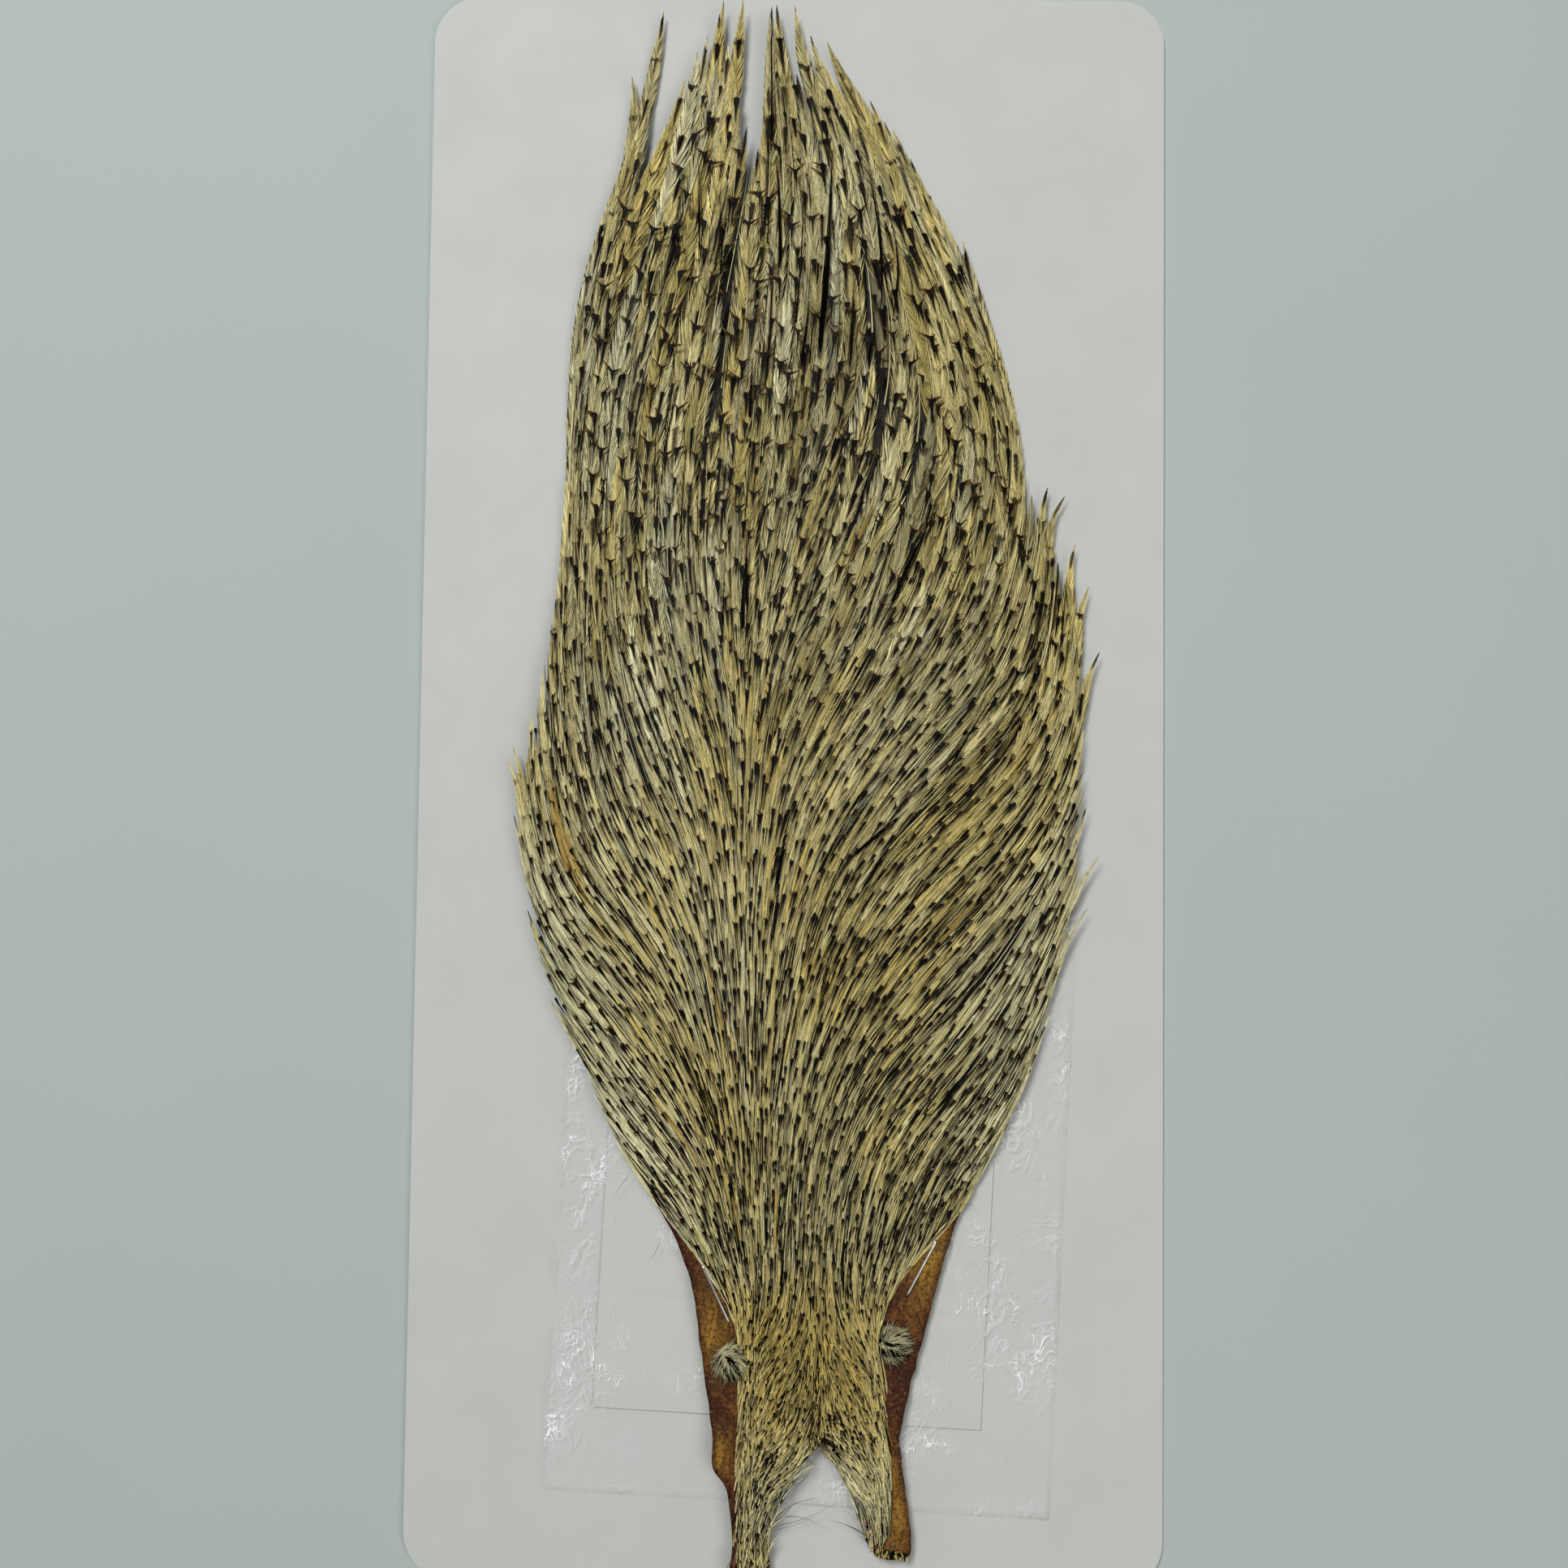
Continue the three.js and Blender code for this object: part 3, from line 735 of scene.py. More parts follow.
class Plume:
    """Many feathers at once: their lines over the plumage and the frames to lay a vane on."""

    def __init__(self, tips, length, half_width, barb_angle, rng, lift, steps, sink=0.035):
        count = len(tips)
        self.steps = steps
        for name, value in (("length", length), ("half_width", half_width), ("barb_angle", barb_angle)):
            setattr(self, name, np.broadcast_to(value, count).astype(float))
        self.spacing = (0.12 + 0.045 * self.half_width) / np.sin(np.radians(self.barb_angle))
        self.taper = 3.2 + 3.0 * self.half_width
        self.count = count
        lean = rng.normal(0, 1, count) * (0.03 + 0.11 * smoothstep(-tips[:, 1], 92, 116))
        swing = rng.normal(0, 0.02, count)
        stride = self.length / self.steps
        flat = np.empty((count, self.steps + 1, 2))
        flat[:, 0] = tips
        for i in range(self.steps):
            here = flat[:, i]
            angle = lie(here[:, 0], here[:, 1]) + lean + swing * math.sin(3.2 * i / self.steps + 0.6)
            ahead = here - stride[:, None] * np.stack([np.sin(angle), np.cos(angle)], 1)
            flat[:, i + 1] = drawn_in(ahead, self.width(np.arange(count), (i + 1) * stride))
        x, y = flat[..., 0], flat[..., 1]
        behind = np.arange(self.steps + 1) * stride[:, None]
        z = coat_height(x, y) + np.broadcast_to(lift, count)[:, None] - sink * behind
        z = np.maximum(z, underside(y) + 0.35)
        self.points = np.stack([x, y, z], 2)
        forward = unit(-np.gradient(self.points, axis=1))
        reach = 1.5
        slope_x = (coat_height(x + reach, y) - coat_height(x - reach, y)) / (2 * reach)
        slope_y = (coat_height(x, y + reach) - coat_height(x, y - reach)) / (2 * reach)
        up = np.stack([-np.clip(slope_x, -0.7, 0.7), -np.clip(slope_y, -0.5, 0.5), np.ones_like(x)], 2)
        right = unit(np.cross(forward, up))
        up = np.cross(right, forward)
        roll = rng.normal(0, 0.10, count)[:, None, None]
        self.right = right * np.cos(roll) + up * np.sin(roll)
        self.up = up * np.cos(roll) - right * np.sin(roll)

    def width(self, which, from_tip):
        """Half width of the vane, which narrows to a long point at the tip."""
        return self.half_width[which] * (1 - np.exp(-np.maximum(from_tip, 0) / self.taper[which]))

    def place(self, which, from_tip, across, high):
        """Points of the feathers named by which, at a distance behind the tip, across and above the vane."""
        at = np.clip(from_tip / self.length[which], 0, 1) * self.steps
        low = np.minimum(at.astype(int), self.steps - 1)
        t = (at - low)[..., None]
        high = high - VANE_DROP * np.abs(across)
        found = 0
        for part, weight in ((self.points, 1.0), (self.right, across[..., None]), (self.up, high[..., None])):
            found = found + (part[which, low] * (1 - t) + part[which, low + 1] * t) * weight
        return found


# The faces of a barb and of a four-cornered blade, and where their points lie in a cell of the bake map
BARB_FACES = np.array([(0, 1, 2), (1, 3, 2), (2, 3, 4)])
BARB_CORNERS = np.array([(0.02, 0.1), (0.02, 0.9), (0.5, 0.1), (0.5, 0.9), (0.98, 0.5)])
QUAD_FACES = np.array([(0, 1, 2), (1, 3, 2)])
QUAD_CORNERS = np.array([(0.03, 0.1), (0.03, 0.9), (0.97, 0.1), (0.97, 0.9)])

# Every blade has a cell of its own on the bake map, this many times as long as it is wide
CELL_SHAPE = 6

# What the finish reads of every feather: the stored vectors, and where each value stands in them
LOOKS = ("feather_bars", "feather_streak", "feather_tint")
PERIOD, PHASE, ARMS, STREAK, SHARE, SLOPE, TONE, WARMTH, DARK = range(9)


class Vanes:
    """Gathers small blades, with what their finish reads, into one mesh with a cell of the map for each."""

    def __init__(self):
        self.points, self.faces, self.place, self.cells = [], [], [], []
        self.looks = []
        self.used = 0
        self.cells_used = 0

    def add(self, points, place, looks, faces, corners):
        """points and place: blades x points x 3; looks: blades x 9, three for each of LOOKS."""
        blades, size = points.shape[:2]
        points[..., 2] = np.maximum(points[..., 2], TIP_BASE)
        self.points.append(points.reshape(-1, 3))
        self.place.append(place.reshape(-1, 3))
        self.looks.append(np.repeat(looks, size, axis=0))
        start = self.used + size * np.arange(blades)[:, None, None]
        self.faces.append((faces[None] + start).reshape(-1, 3))
        cell = self.cells_used + np.arange(blades)[:, None, None, None]
        spots = np.broadcast_to(corners[faces][None], (blades, len(faces), 3, 2))
        cells = np.concatenate([np.broadcast_to(cell, spots.shape[:3] + (1,)), spots], 3)
        self.cells.append(cells.reshape(-1, 3))
        self.used += blades * size
        self.cells_used += blades

    def piece(self, name, finish):
        """The gathered blades as one piece of the cape."""
        points, faces = np.concatenate(self.points), np.concatenate(self.faces)
        made = mesh_piece(name, points, faces, finish, "cape", smooth=False)
        give(made.data, "feather_place", np.concatenate(self.place))
        looks = np.concatenate(self.looks)
        for number, layer in enumerate(LOOKS):
            give(made.data, layer, looks[:, 3 * number:3 * number + 3])
        cells = np.concatenate(self.cells)
        columns = max(1, math.ceil(math.sqrt(self.cells_used / CELL_SHAPE)))
        rows = math.ceil(self.cells_used / columns)
        u = (cells[:, 0] % columns + cells[:, 1]) / columns
        v = (cells[:, 0] // columns + cells[:, 2]) / rows
        bake_map = made.data.uv_layers.new(name="OFBake")
        bake_map.data.foreach_set("uv", np.stack([u, v], 1).astype(np.float32).ravel())


def barbs(vanes, plume, looks, rng, bare_root):
    """Barbs on both sides of every shaft: slim blades that leave it at an angle and curve towards the tip."""
    barbed = plume.length * (1 - bare_root)
    counts = (barbed / plume.spacing).astype(int)
    for side in (-1, 1):
        which = np.repeat(np.arange(plume.count), counts)
        order = np.arange(len(which)) - np.repeat(np.cumsum(counts) - counts, counts)
        total = len(which)
        root = (order + 0.5 + rng.uniform(-0.3, 0.3, total)) * plume.spacing[which]
        angle = np.radians(plume.barb_angle[which])
        reach = np.minimum(plume.width(which, root) / np.tan(angle), 0.86 * root)
        tip = root - reach * rng.uniform(0.92, 1.08, total)
        tip_across = (plume.width(which, tip) + 0.06) * rng.uniform(0.78, 1.14, total)
        middle = root - 0.46 * reach
        middle_across = 0.60 * tip_across
        wide = 0.5 * (plume.spacing[which] * np.sin(angle) + 0.05) * rng.uniform(0.8, 1.2, total)
        wide *= 0.6 + 0.4 * smoothstep(root, 2, 12)
        slant = np.arctan2(tip_across, reach)
        along, off = wide * np.sin(slant), wide * np.cos(slant)
        tilt = rng.uniform(0.02, 0.09, total)
        rise = rng.uniform(0.02, 0.10, total)
        from_tip = np.stack([root - along, root + along, middle - along, middle + along, tip], 1)
        by_shaft = np.full(total, 0.04)
        across = [by_shaft, by_shaft + off, middle_across - off, middle_across + off, tip_across]
        across = np.stack(across, 1)
        high = np.stack([rise, rise + tilt, rise, rise + tilt, rise * 1.6], 1)
        points = plume.place(which[:, None], from_tip, side * across, high)
        jog = (rng.normal(0, 0.06, total) * (1 + plume.half_width[which]))[:, None]
        # Painted shade in the third number of each point: a narrow feather's barbs darken to near black at
        # their tips, so that dark lines part the feathers, and a broad feather's are a little darker by the
        # shaft.
        broad = smoothstep(plume.half_width[which], 1.2, 2.2)
        by_root, half_way = 0.9 - 0.3 * broad, 0.75 + 0.15 * broad
        share = np.stack([by_root, by_root, half_way, half_way, 0.08 + 0.92 * broad], 1)
        place = np.stack([side * across, from_tip + jog, share], 2)
        own = looks[which]
        clump = rng.normal(0, 0.15, total)[np.arange(total) // 3 * 3] * (0.4 + 0.6 * broad)
        bright, dull = rng.random(total) < 0.10, rng.random(total) < 0.14
        uneven = rng.normal(0, 0.10, total) + 0.35 * bright - 0.40 * dull
        own[:, TONE] *= 1 + clump + uneven * (0.45 + 0.55 * broad)
        own[:, WARMTH] += rng.normal(0, 0.10, total)
        own[:, ARMS] *= rng.uniform(0.55, 1.2, total)
        vanes.add(points, place, own, BARB_FACES, BARB_CORNERS)


def quads(near, far):
    """Corners of the blades between two lines of points on each feather."""
    return np.stack([near[:, :-1], far[:, :-1], near[:, 1:], far[:, 1:]], 2).reshape(-1, 4, 3)


def ribbon(vanes, plume, looks, profile):
    """A strip along every feather, whose lines of points a profile gives."""
    which = np.arange(plume.count)[:, None]
    from_tip = np.arange(plume.steps + 1) / plume.steps * plume.length[:, None]
    lines = []
    edge, rows = profile
    for share, high, lightness_with_painted_shade in rows:
        across = share * edge(plume, which, from_tip)
        points = plume.place(which, from_tip, across, np.full_like(from_tip, high))
        lines.append((points, np.stack([across, from_tip, np.full_like(across, lightness_with_painted_shade)], 2)))
    for (near, near_place), (far, far_place) in zip(lines[:-1], lines[1:]):
        repeated = np.repeat(looks, plume.steps, axis=0)
        vanes.add(quads(near, far), quads(near_place, far_place), repeated, QUAD_FACES, QUAD_CORNERS)


def vane_edge(plume, which, from_tip):
    return plume.width(which, from_tip) * smoothstep(from_tip, 1.0, 9.0)


def shaft_edge(plume, which, from_tip):
    return 0.06 + 0.10 * from_tip / plume.length[which]


def strand_edge(plume, which, from_tip):
    return plume.half_width[which] * np.sqrt(from_tip / plume.length[which])


# Lines of points along a feather: share of an edge to the side, height and lightness, which is painted shade
# and highlight: darker towards a vane's edges, where feathers overlap, and lighter along the middle of a
# shaft or hair
WEB = vane_edge, [(-0.9, -0.12, 0.0), (0.0, -0.02, 0.8), (0.9, -0.12, 0.0)]
SHAFT = shaft_edge, [(-1.0, 0.05, 0.6), (0.0, 0.17, 1.1), (1.0, 0.05, 0.6)]
STRAND = strand_edge, [(-1.0, 0.12, 0.9), (0.0, 0.24, 1.1), (1.0, 0.12, 0.9)]


def lay_feathers(vanes, plume, looks, rng, bare_root):
    # Painted shade: the vane's backing strip is darker, most on broad feathers, for the shade seen between
    # the barbs.
    shaded_web = looks.copy()
    shaded_web[:, TONE] *= 0.9 - 0.5 * smoothstep(plume.half_width, 0.5, 1.6)
    ribbon(vanes, plume, shaded_web, WEB)
    ribbon(vanes, plume, looks, SHAFT)
    barbs(vanes, plume, looks, rng, bare_root)


def coat_value(y, column):
    return smooth_curve(y, COAT[:, 0], COAT[:, column])


def mark_value(y, column):
    return np.interp(y, MARKS[:, 0], MARKS[:, column])


def neck_tips(rng):
    """Tips in staggered rows over the neck, from the head end up."""
    tips = []
    y, row = NECK_ROWS[0], 0
    while y < NECK_ROWS[1]:
        left, right = at_height(SILHOUETTE, y)
        gap, step = coat_value(y, GAP), coat_value(y, STEP)
        count = int((right - left) / gap / 3) + 1
        loose = 0.2 - 0.12 * smoothstep(y, 0, 70)
        x = left + (np.arange(count) + (row % 3) / 3 + 0.5 + rng.uniform(-1, 1, count) * loose) * gap * 3
        at = y + rng.uniform(-0.3, 0.3, count) * step
        tips.append(np.stack([x, at], 1))
        y += step / 3
        row += 1
    tips = np.concatenate(tips)
    left, right = at_height(SILHOUETTE, tips[:, 1])
    inside = (tips[:, 0] > left + 0.6) & (tips[:, 0] < right - 0.6)
    below = tips[:, 1] < free_tips(tips[:, 0]) - 4
    return tips[inside & below & ~in_tip_gap(*tips.T, 0.6)]


def rim_tips(rng):
    """Tips close along the outer line of the coat, and the few that stand off it."""
    tips = []
    for side in (1, 2):
        y = RIM_ROWS[0]
        while y < RIM_ROWS[1]:
            x = np.interp(y, SILHOUETTE[:, 0], SILHOUETTE[:, side])
            tips.append((x - np.sign(x) * rng.uniform(-0.3, 1.6), y))
            y += coat_value(y, STEP) * rng.uniform(0.16, 0.42)
    return np.array(tips + STRAY_TIPS)


def leg_tips(rng):
    """Tips of the short feathers on the two legs."""
    tips = []
    y = LEG_ROWS[0]
    while y < LEG_ROWS[1]:
        left, right = at_height(SILHOUETTE, y)
        gap_left, gap_right = at_height(FORK, y)
        for low, high in ((left, gap_left), (gap_right, right)):
            count = int((high - low) / LEG_GAP / 2)
            x = low + (high - low) * rng.uniform(0.02, 0.98, count)
            if low < LEGS_PART or y > RIGHT_LEG_TIPS:
                tips.append(np.stack([x, y + rng.normal(0, 0.6, count)], 1))
        y += LEG_STEP
    return np.concatenate(tips)


def feather_looks(tips, half_width, rng):
    """Bars and tints of feathers, which drift over the cape and differ from one to the next."""
    x, y = tips.T
    count = len(tips)
    looks = np.zeros((count, 9))
    period = coat_value(y, BAR_PERIOD)
    loose = 0.5 - 0.22 * smoothstep(-x, 10, 25) * smoothstep(y, -100, -60)
    looks[:, PERIOD] = period * rng.uniform(0.85, 1.15, count)
    looks[:, PHASE] = (0.4 * x - y) / period + loose * rng.uniform(-1, 1, count) + 60
    looks[:, ARMS] = (0.12 + 0.88 * smoothstep(half_width, 0.8, 1.9)) * rng.uniform(0.5, 1.1, count)
    looks[:, STREAK] = (0.08 + 0.18 * half_width) * rng.uniform(0.75, 1.3, count)
    looks[:, SHARE] = (0.36 + 0.34 * smoothstep(y, -110, 0)) * rng.uniform(0.8, 1.2, count)
    looks[:, SLOPE] = rng.uniform(-0.1, 0.9, count)
    tone = 0.96 + 0.08 * ripple(x, y, 26, 3) + rng.normal(0, 0.17, count) + patches(x, y, TONE_PATCHES)
    tone += 0.36 * smoothstep(-y, -40, 10) * smoothstep(y, -120, -96)
    looks[:, TONE] = np.minimum(tone, 1.34)
    warmth = 0.62 + 0.20 * ripple(x, y, 34, 4) + rng.normal(0, 0.17, count) + patches(x, y, WARM_PATCHES)
    looks[:, WARMTH] = np.clip(warmth - 0.25 * near_rim(x, y), 0.12, 0.95)
    plain = rng.random(count) < 0.45 * smoothstep(-y, 85, 110) + 0.35 * smoothstep(-y, 128, 144)
    looks[plain, STREAK] = 0
    bold = rng.random(count) < 0.08
    looks[bold, STREAK] *= 1.5
    looks[bold, SHARE] *= 1.3
    return looks


def plain_looks(count):
    looks = np.zeros((count, 9))
    looks[:, PERIOD], looks[:, SHARE] = 5.0, 0.5
    return looks


def lined(looks):
    looks[:, STREAK] = 0.24
    looks[:, SHARE] = 4.0
    looks[:, ARMS] *= 0.5


# Painted shade: a feather in a parting made near black for the shade of the gap.
def dark(looks):
    looks[:, DARK] = 0.97


def amber(looks):
    looks[:, WARMTH] = 1.28
    looks[:, STREAK] = 0.05
    looks[:, ARMS] = 0


def lay_strands(vanes, x, y, rng):
    """Long single hairs over the feathers with these tips: most of them pale, the others black."""
    chosen = np.repeat(np.arange(len(x)), np.where(y < 40, 3, 2))
    spots = np.stack([x[chosen], y[chosen]], 1) + rng.normal(0, 1.2, (len(chosen), 2)) * (1, 3)
    left, right = at_height(SILHOUETTE, spots[:, 1])
    spots = np.stack([np.clip(spots[:, 0], left + 0.5, right - 0.5), np.maximum(spots[:, 1], LOWEST_TIP)], 1)
    spots = spots[closed_coat(*spots.T, 5, 0.6)]
    count = len(spots)
    length = coat_value(spots[:, 1], LENGTH) * rng.uniform(0.3, 0.5, count)
    thick = rng.uniform(0.06, 0.14, count) * (1 + 0.2 * smoothstep(spots[:, 1], 0, 80))
    looks = feather_looks(spots, thick, rng)
    looks[:, STREAK], looks[:, ARMS] = 0, 0
    flecked = (spots[:, 1] < -50) & (rng.random(count) < 0.6)
    looks[flecked, STREAK], looks[flecked, SHARE] = 0.25, 0.3
    looks[:, TONE] = rng.uniform(1.0, 1.6, count)
    head = smoothstep(-spots[:, 1], 88, 108)
    looks[:, WARMTH] *= 0.7 + 0.3 * head
    black = rng.random(count) < 0.30 + 0.08 * smoothstep(-spots[:, 1], 0, 30) - 0.22 * head
    looks[black, DARK] = 0.97
    plume = Plume(spots, length, thick, 10, rng, rng.uniform(0.25, 0.7, count), 8)
    ribbon(vanes, plume, looks, STRAND)


def mark_spots(rng):
    """Where the open marks lie: in staggered rows from the legs to the tips, and crowded in a few places."""
    spots = []
    y, row = MARK_ROWS[0], 0
    while y < MARK_ROWS[1]:
        left, right = at_height(SILHOUETTE, y)
        across, along = mark_value(y, MARK_ACROSS), mark_value(y, MARK_ALONG)
        x = np.arange(left + 0.9 + (row % 2) * across, right - 0.7, 2 * across)
        jog = rng.uniform(-1, 1, (len(x), 2)) * (0.38 * across, 0.42 * along)
        spots.append(np.stack([x, np.full_like(x, y)], 1) + jog)
        y += along / 2
        row += 1
    for at_x, at_y, wide, long, count in CROWDED:
        spots.append(rng.normal(0, 1, (count, 2)) * (wide, long) + (at_x, at_y))
    x, y = np.concatenate(spots).T
    y = np.maximum(y, LOWEST_TIP)
    spots = np.stack([x, y], 1)
    gap_left, gap_right = at_height(FORK, y)
    in_fork = (y < FORK[-1, 0]) & (x > gap_left - 0.2) & (x < gap_right + 0.2)
    outside = from_rim(x, y) < 0.5 + 0.9 * smoothstep(y, -20, 60)
    return spots[~in_fork & ~outside & closed_coat(x, y, 4, 0.9)]


def lay_marks(vanes, spots, rng):
    """Bundles of dark barbs: a tapering wedge along the shaft and, on broad feathers, two arms."""
    count = len(spots)
    sizes = (mark_value(spots[:, 1], column) for column in (MARK_LENGTH, MARK_WIDTH, MARK_REACH))
    length, half_width, reach = sizes
    by_rim = near_rim(*spots.T)
    length = length * rng.uniform(0.6, 1.4, count)
    half_width = half_width * rng.uniform(0.7, 1.5, count) * (1 + 0.15 * by_rim)
    reach = reach + 0.55 * by_rim
    lift = 0.68 + 0.1 * np.minimum(coat_value(spots[:, 1], HALF_WIDTH), 1.2)
    plume = Plume(spots, length + MARK_LEAD, 0.4, 10, rng, lift, 4, 0.0)
    looks = plain_looks(count)
    looks[:, TONE], looks[:, WARMTH] = 1.0, 1.2
    looks[:, DARK] = rng.uniform(0.93, 1.0, count)
    lean = rng.uniform(-0.5, 0.5, count) * half_width
    for (start, start_wide), (end, end_wide) in zip(MARK_SHAPE[:-1], MARK_SHAPE[1:]):
        from_tip = MARK_LEAD + length[:, None] * np.array([start, start, end, end])
        wide = half_width[:, None] * np.array([-start_wide, start_wide, -end_wide, end_wide])
        across = wide + lean[:, None] * np.array([start, start, end, end])
        lay_blades(vanes, plume, from_tip, across, looks)
    lay_arms(vanes, plume, spots, length, half_width, reach, looks, rng)


def lay_arms(vanes, plume, spots, length, half_width, reach, looks, rng):
    """Arms on both sides of marks that lie well inside the coat, black at the shaft and browner outside."""
    count = len(spots)
    clear = from_rim(*spots.T) > reach + 1.5
    clear &= (spots[:, 1] < free_tips(spots[:, 0]) - 14) & ~in_tip_gap(*spots.T, 3.0)
    clear &= (spots[:, 0] > -26) | (spots[:, 1] < 120)
    for side in (-1, 1):
        armed = clear & (reach > 0.25) & (rng.random(count) < 0.7)
        far = reach * rng.uniform(0.4, 1.25, count)
        rise = rng.uniform(0.0, 0.9, count) * far
        half_thick = (half_width * rng.uniform(0.8, 1.5, count) + 0.26) / 2
        by_shaft = (0.0, 0.12 * length, half_thick)
        half_way = (0.5, 0.06 * length - 0.5 * rise, 0.8 * half_thick)
        outside = (1.0, -rise, 0.35 * half_thick)
        for inner, outer, darkness in ((by_shaft, half_way, 0.92), (half_way, outside, 0.62)):
            from_tip = [back + sign * half for _, back, half in (inner, outer) for sign in (-1, 1)]
            across = [side * share * far for share, _, _ in (inner, outer) for _ in range(2)]
            own = looks.copy()
            own[:, DARK] *= darkness
            own[:, WARMTH], own[:, TONE] = 1.7, 1.35
            lay_blades(vanes, plume, np.stack(from_tip, 1) + MARK_LEAD, np.stack(across, 1), own, armed)


def lay_blades(vanes, plume, from_tip, across, looks, chosen=slice(None)):
    """One four-cornered blade for each of the chosen feathers."""
    which = np.arange(plume.count)[:, None]
    points = plume.place(which, from_tip, across, 0.1 + VANE_DROP * np.abs(across))
    # Every point of a mark takes 0.9 as its third number, an even painted shade.
    place = np.stack([np.full_like(from_tip, 3.0), from_tip, np.full_like(from_tip, 0.9)], 2)
    vanes.add(points[chosen], place[chosen], looks[chosen], QUAD_FACES, QUAD_CORNERS)


def plumage(finish):
    """The whole coat, from the legs up to the tips, split into pieces along the neck."""
    rng = np.random.default_rng(SEED)
    tips = np.concatenate([leg_tips(rng), neck_tips(rng), rim_tips(rng)])
    length, half_width = coat_value(tips[:, 1], LENGTH), coat_value(tips[:, 1], HALF_WIDTH)
    room = tips[:, 1] - np.where(tips[:, 0] > LEGS_PART, RIGHT_LEG_END, LOWEST_ROOT)
    length = np.minimum(length * rng.uniform(0.85, 1.15, len(tips)), np.maximum(room, 2.0))
    coat = np.column_stack([tips, length, half_width * rng.uniform(0.8, 1.2, len(tips))])
    coat = np.concatenate([coat, LONG_TIPS])
    looks = feather_looks(coat[:, :2], coat[:, 3], rng)
    lift = 0.15 + rng.uniform(0, 0.5, len(coat)) * np.minimum(coat[:, 3], 1.2)
    for chosen, change in ((BLACK_LINES, lined), (PAINTED_SHADE_PARTINGS, dark), (AMBER_ONES, amber)):
        rows = np.array(chosen)
        own = feather_looks(rows[:, :2], rows[:, 3], rng)
        change(own)
        coat, looks = np.concatenate([coat, rows]), np.concatenate([looks, own])
        lift = np.concatenate([lift, np.full(len(rows), 0.95)])
    marks = mark_spots(rng)
    for number, (low, high) in enumerate(COAT_PIECES):
        part = (coat[:, 1] >= low) & (coat[:, 1] < high)
        x, y, length, half_width = coat[part].T
        angle = coat_value(y, BARB_ANGLE)
        steps = 9 if high < -80 else 14
        plume = Plume(np.stack([x, y], 1), length, half_width, angle, rng, lift[part], steps)
        vanes = Vanes()
        lay_feathers(vanes, plume, looks[part], rng, 0.4 if high < 0 else 0.3)
        lay_strands(vanes, x, y, rng)
        lay_marks(vanes, marks[(marks[:, 1] >= low) & (marks[:, 1] < high)], rng)
        vanes.piece(f"hackles_{number + 1}", finish)


def under_plumage():
    """Dark down inside the coat, a little lower and narrower than its dome, that runs out under the tips;
    near black, it also stands as painted shade where it shows between the feathers.
    """
    inset, sunk = 3.5, 1.2
    sides = np.sin(np.linspace(-1, 1, 25) * math.pi / 2)
    stations = -131 + 241 * np.sin(np.linspace(0, 1, 62) * math.pi / 2)
    y = np.repeat(stations, len(sides))
    left, right = edges(y)
    end = np.where(y > 50, np.sqrt(np.maximum(1 - ((y - 50) / 60) ** 2, 0.0004)), 1.0)
    x = (left + right) / 2 + ((right - left) / 2 - inset) * end * np.tile(sides, len(stations))
    floor = underside(y) + 0.12
    top = np.maximum(dome_height(x, y) - sunk, floor + 0.2)
    top = floor + (top - floor) * end
    points, faces = thin_sheet(x, y, top, floor, len(stations), len(sides))
    mesh_piece("under_plumage", points, faces, down_and_shade_finish(), "cape")


# Hide

def inside_outline(outline, spacing, margin):
    """Points of a jogged grid inside an outline, at least a margin from it."""
    ring = np.array(outline, float)
    rng = np.random.default_rng(SEED)
    low, high = ring.min(0), ring.max(0)
    x, y = np.meshgrid(np.arange(low[0], high[0], spacing), np.arange(low[1], high[1], spacing))
    spots = np.stack([x.ravel(), y.ravel()], 1) + rng.uniform(-0.25, 0.25, (x.size, 2)) * spacing
    crossings = np.zeros(len(spots), int)
    nearest = np.full(len(spots), np.inf)
    for a, b in zip(ring, np.roll(ring, -1, axis=0)):
        spans = (a[1] > spots[:, 1]) != (b[1] > spots[:, 1])
        cut = a[0] + (spots[:, 1] - a[1]) / (b[1] - a[1] + 1e-12) * (b[0] - a[0])
        crossings += spans & (spots[:, 0] < cut)
        t = np.clip(((spots - a) @ (b - a)) / ((b - a) @ (b - a)), 0, 1)
        nearest = np.minimum(nearest, np.linalg.norm(spots - a - t[:, None] * (b - a), axis=1))
    chosen = (crossings % 2 == 1) & (nearest > margin)
    return spots[chosen], nearest[chosen]


def rounded_ring(outline, spacing):
    """The outline as a smooth closed line with points at an even spacing."""
    ring = np.array(outline, float)
    before, after, beyond = np.roll(ring, 1, 0), np.roll(ring, -1, 0), np.roll(ring, -2, 0)
    points = []
    for p0, p1, p2, p3 in zip(before, ring, after, beyond):
        steps = max(2, int(np.linalg.norm(p2 - p1) / spacing))
        for t in np.arange(steps) / steps:
            ease = 0.5 * ((p2 - p0) * t + (2 * p0 - 5 * p1 + 4 * p2 - p3) * t ** 2)
            points.append(p1 + ease + 0.5 * (3 * p1 - p0 - 3 * p2 + p3) * t ** 3)
    return np.array(points)


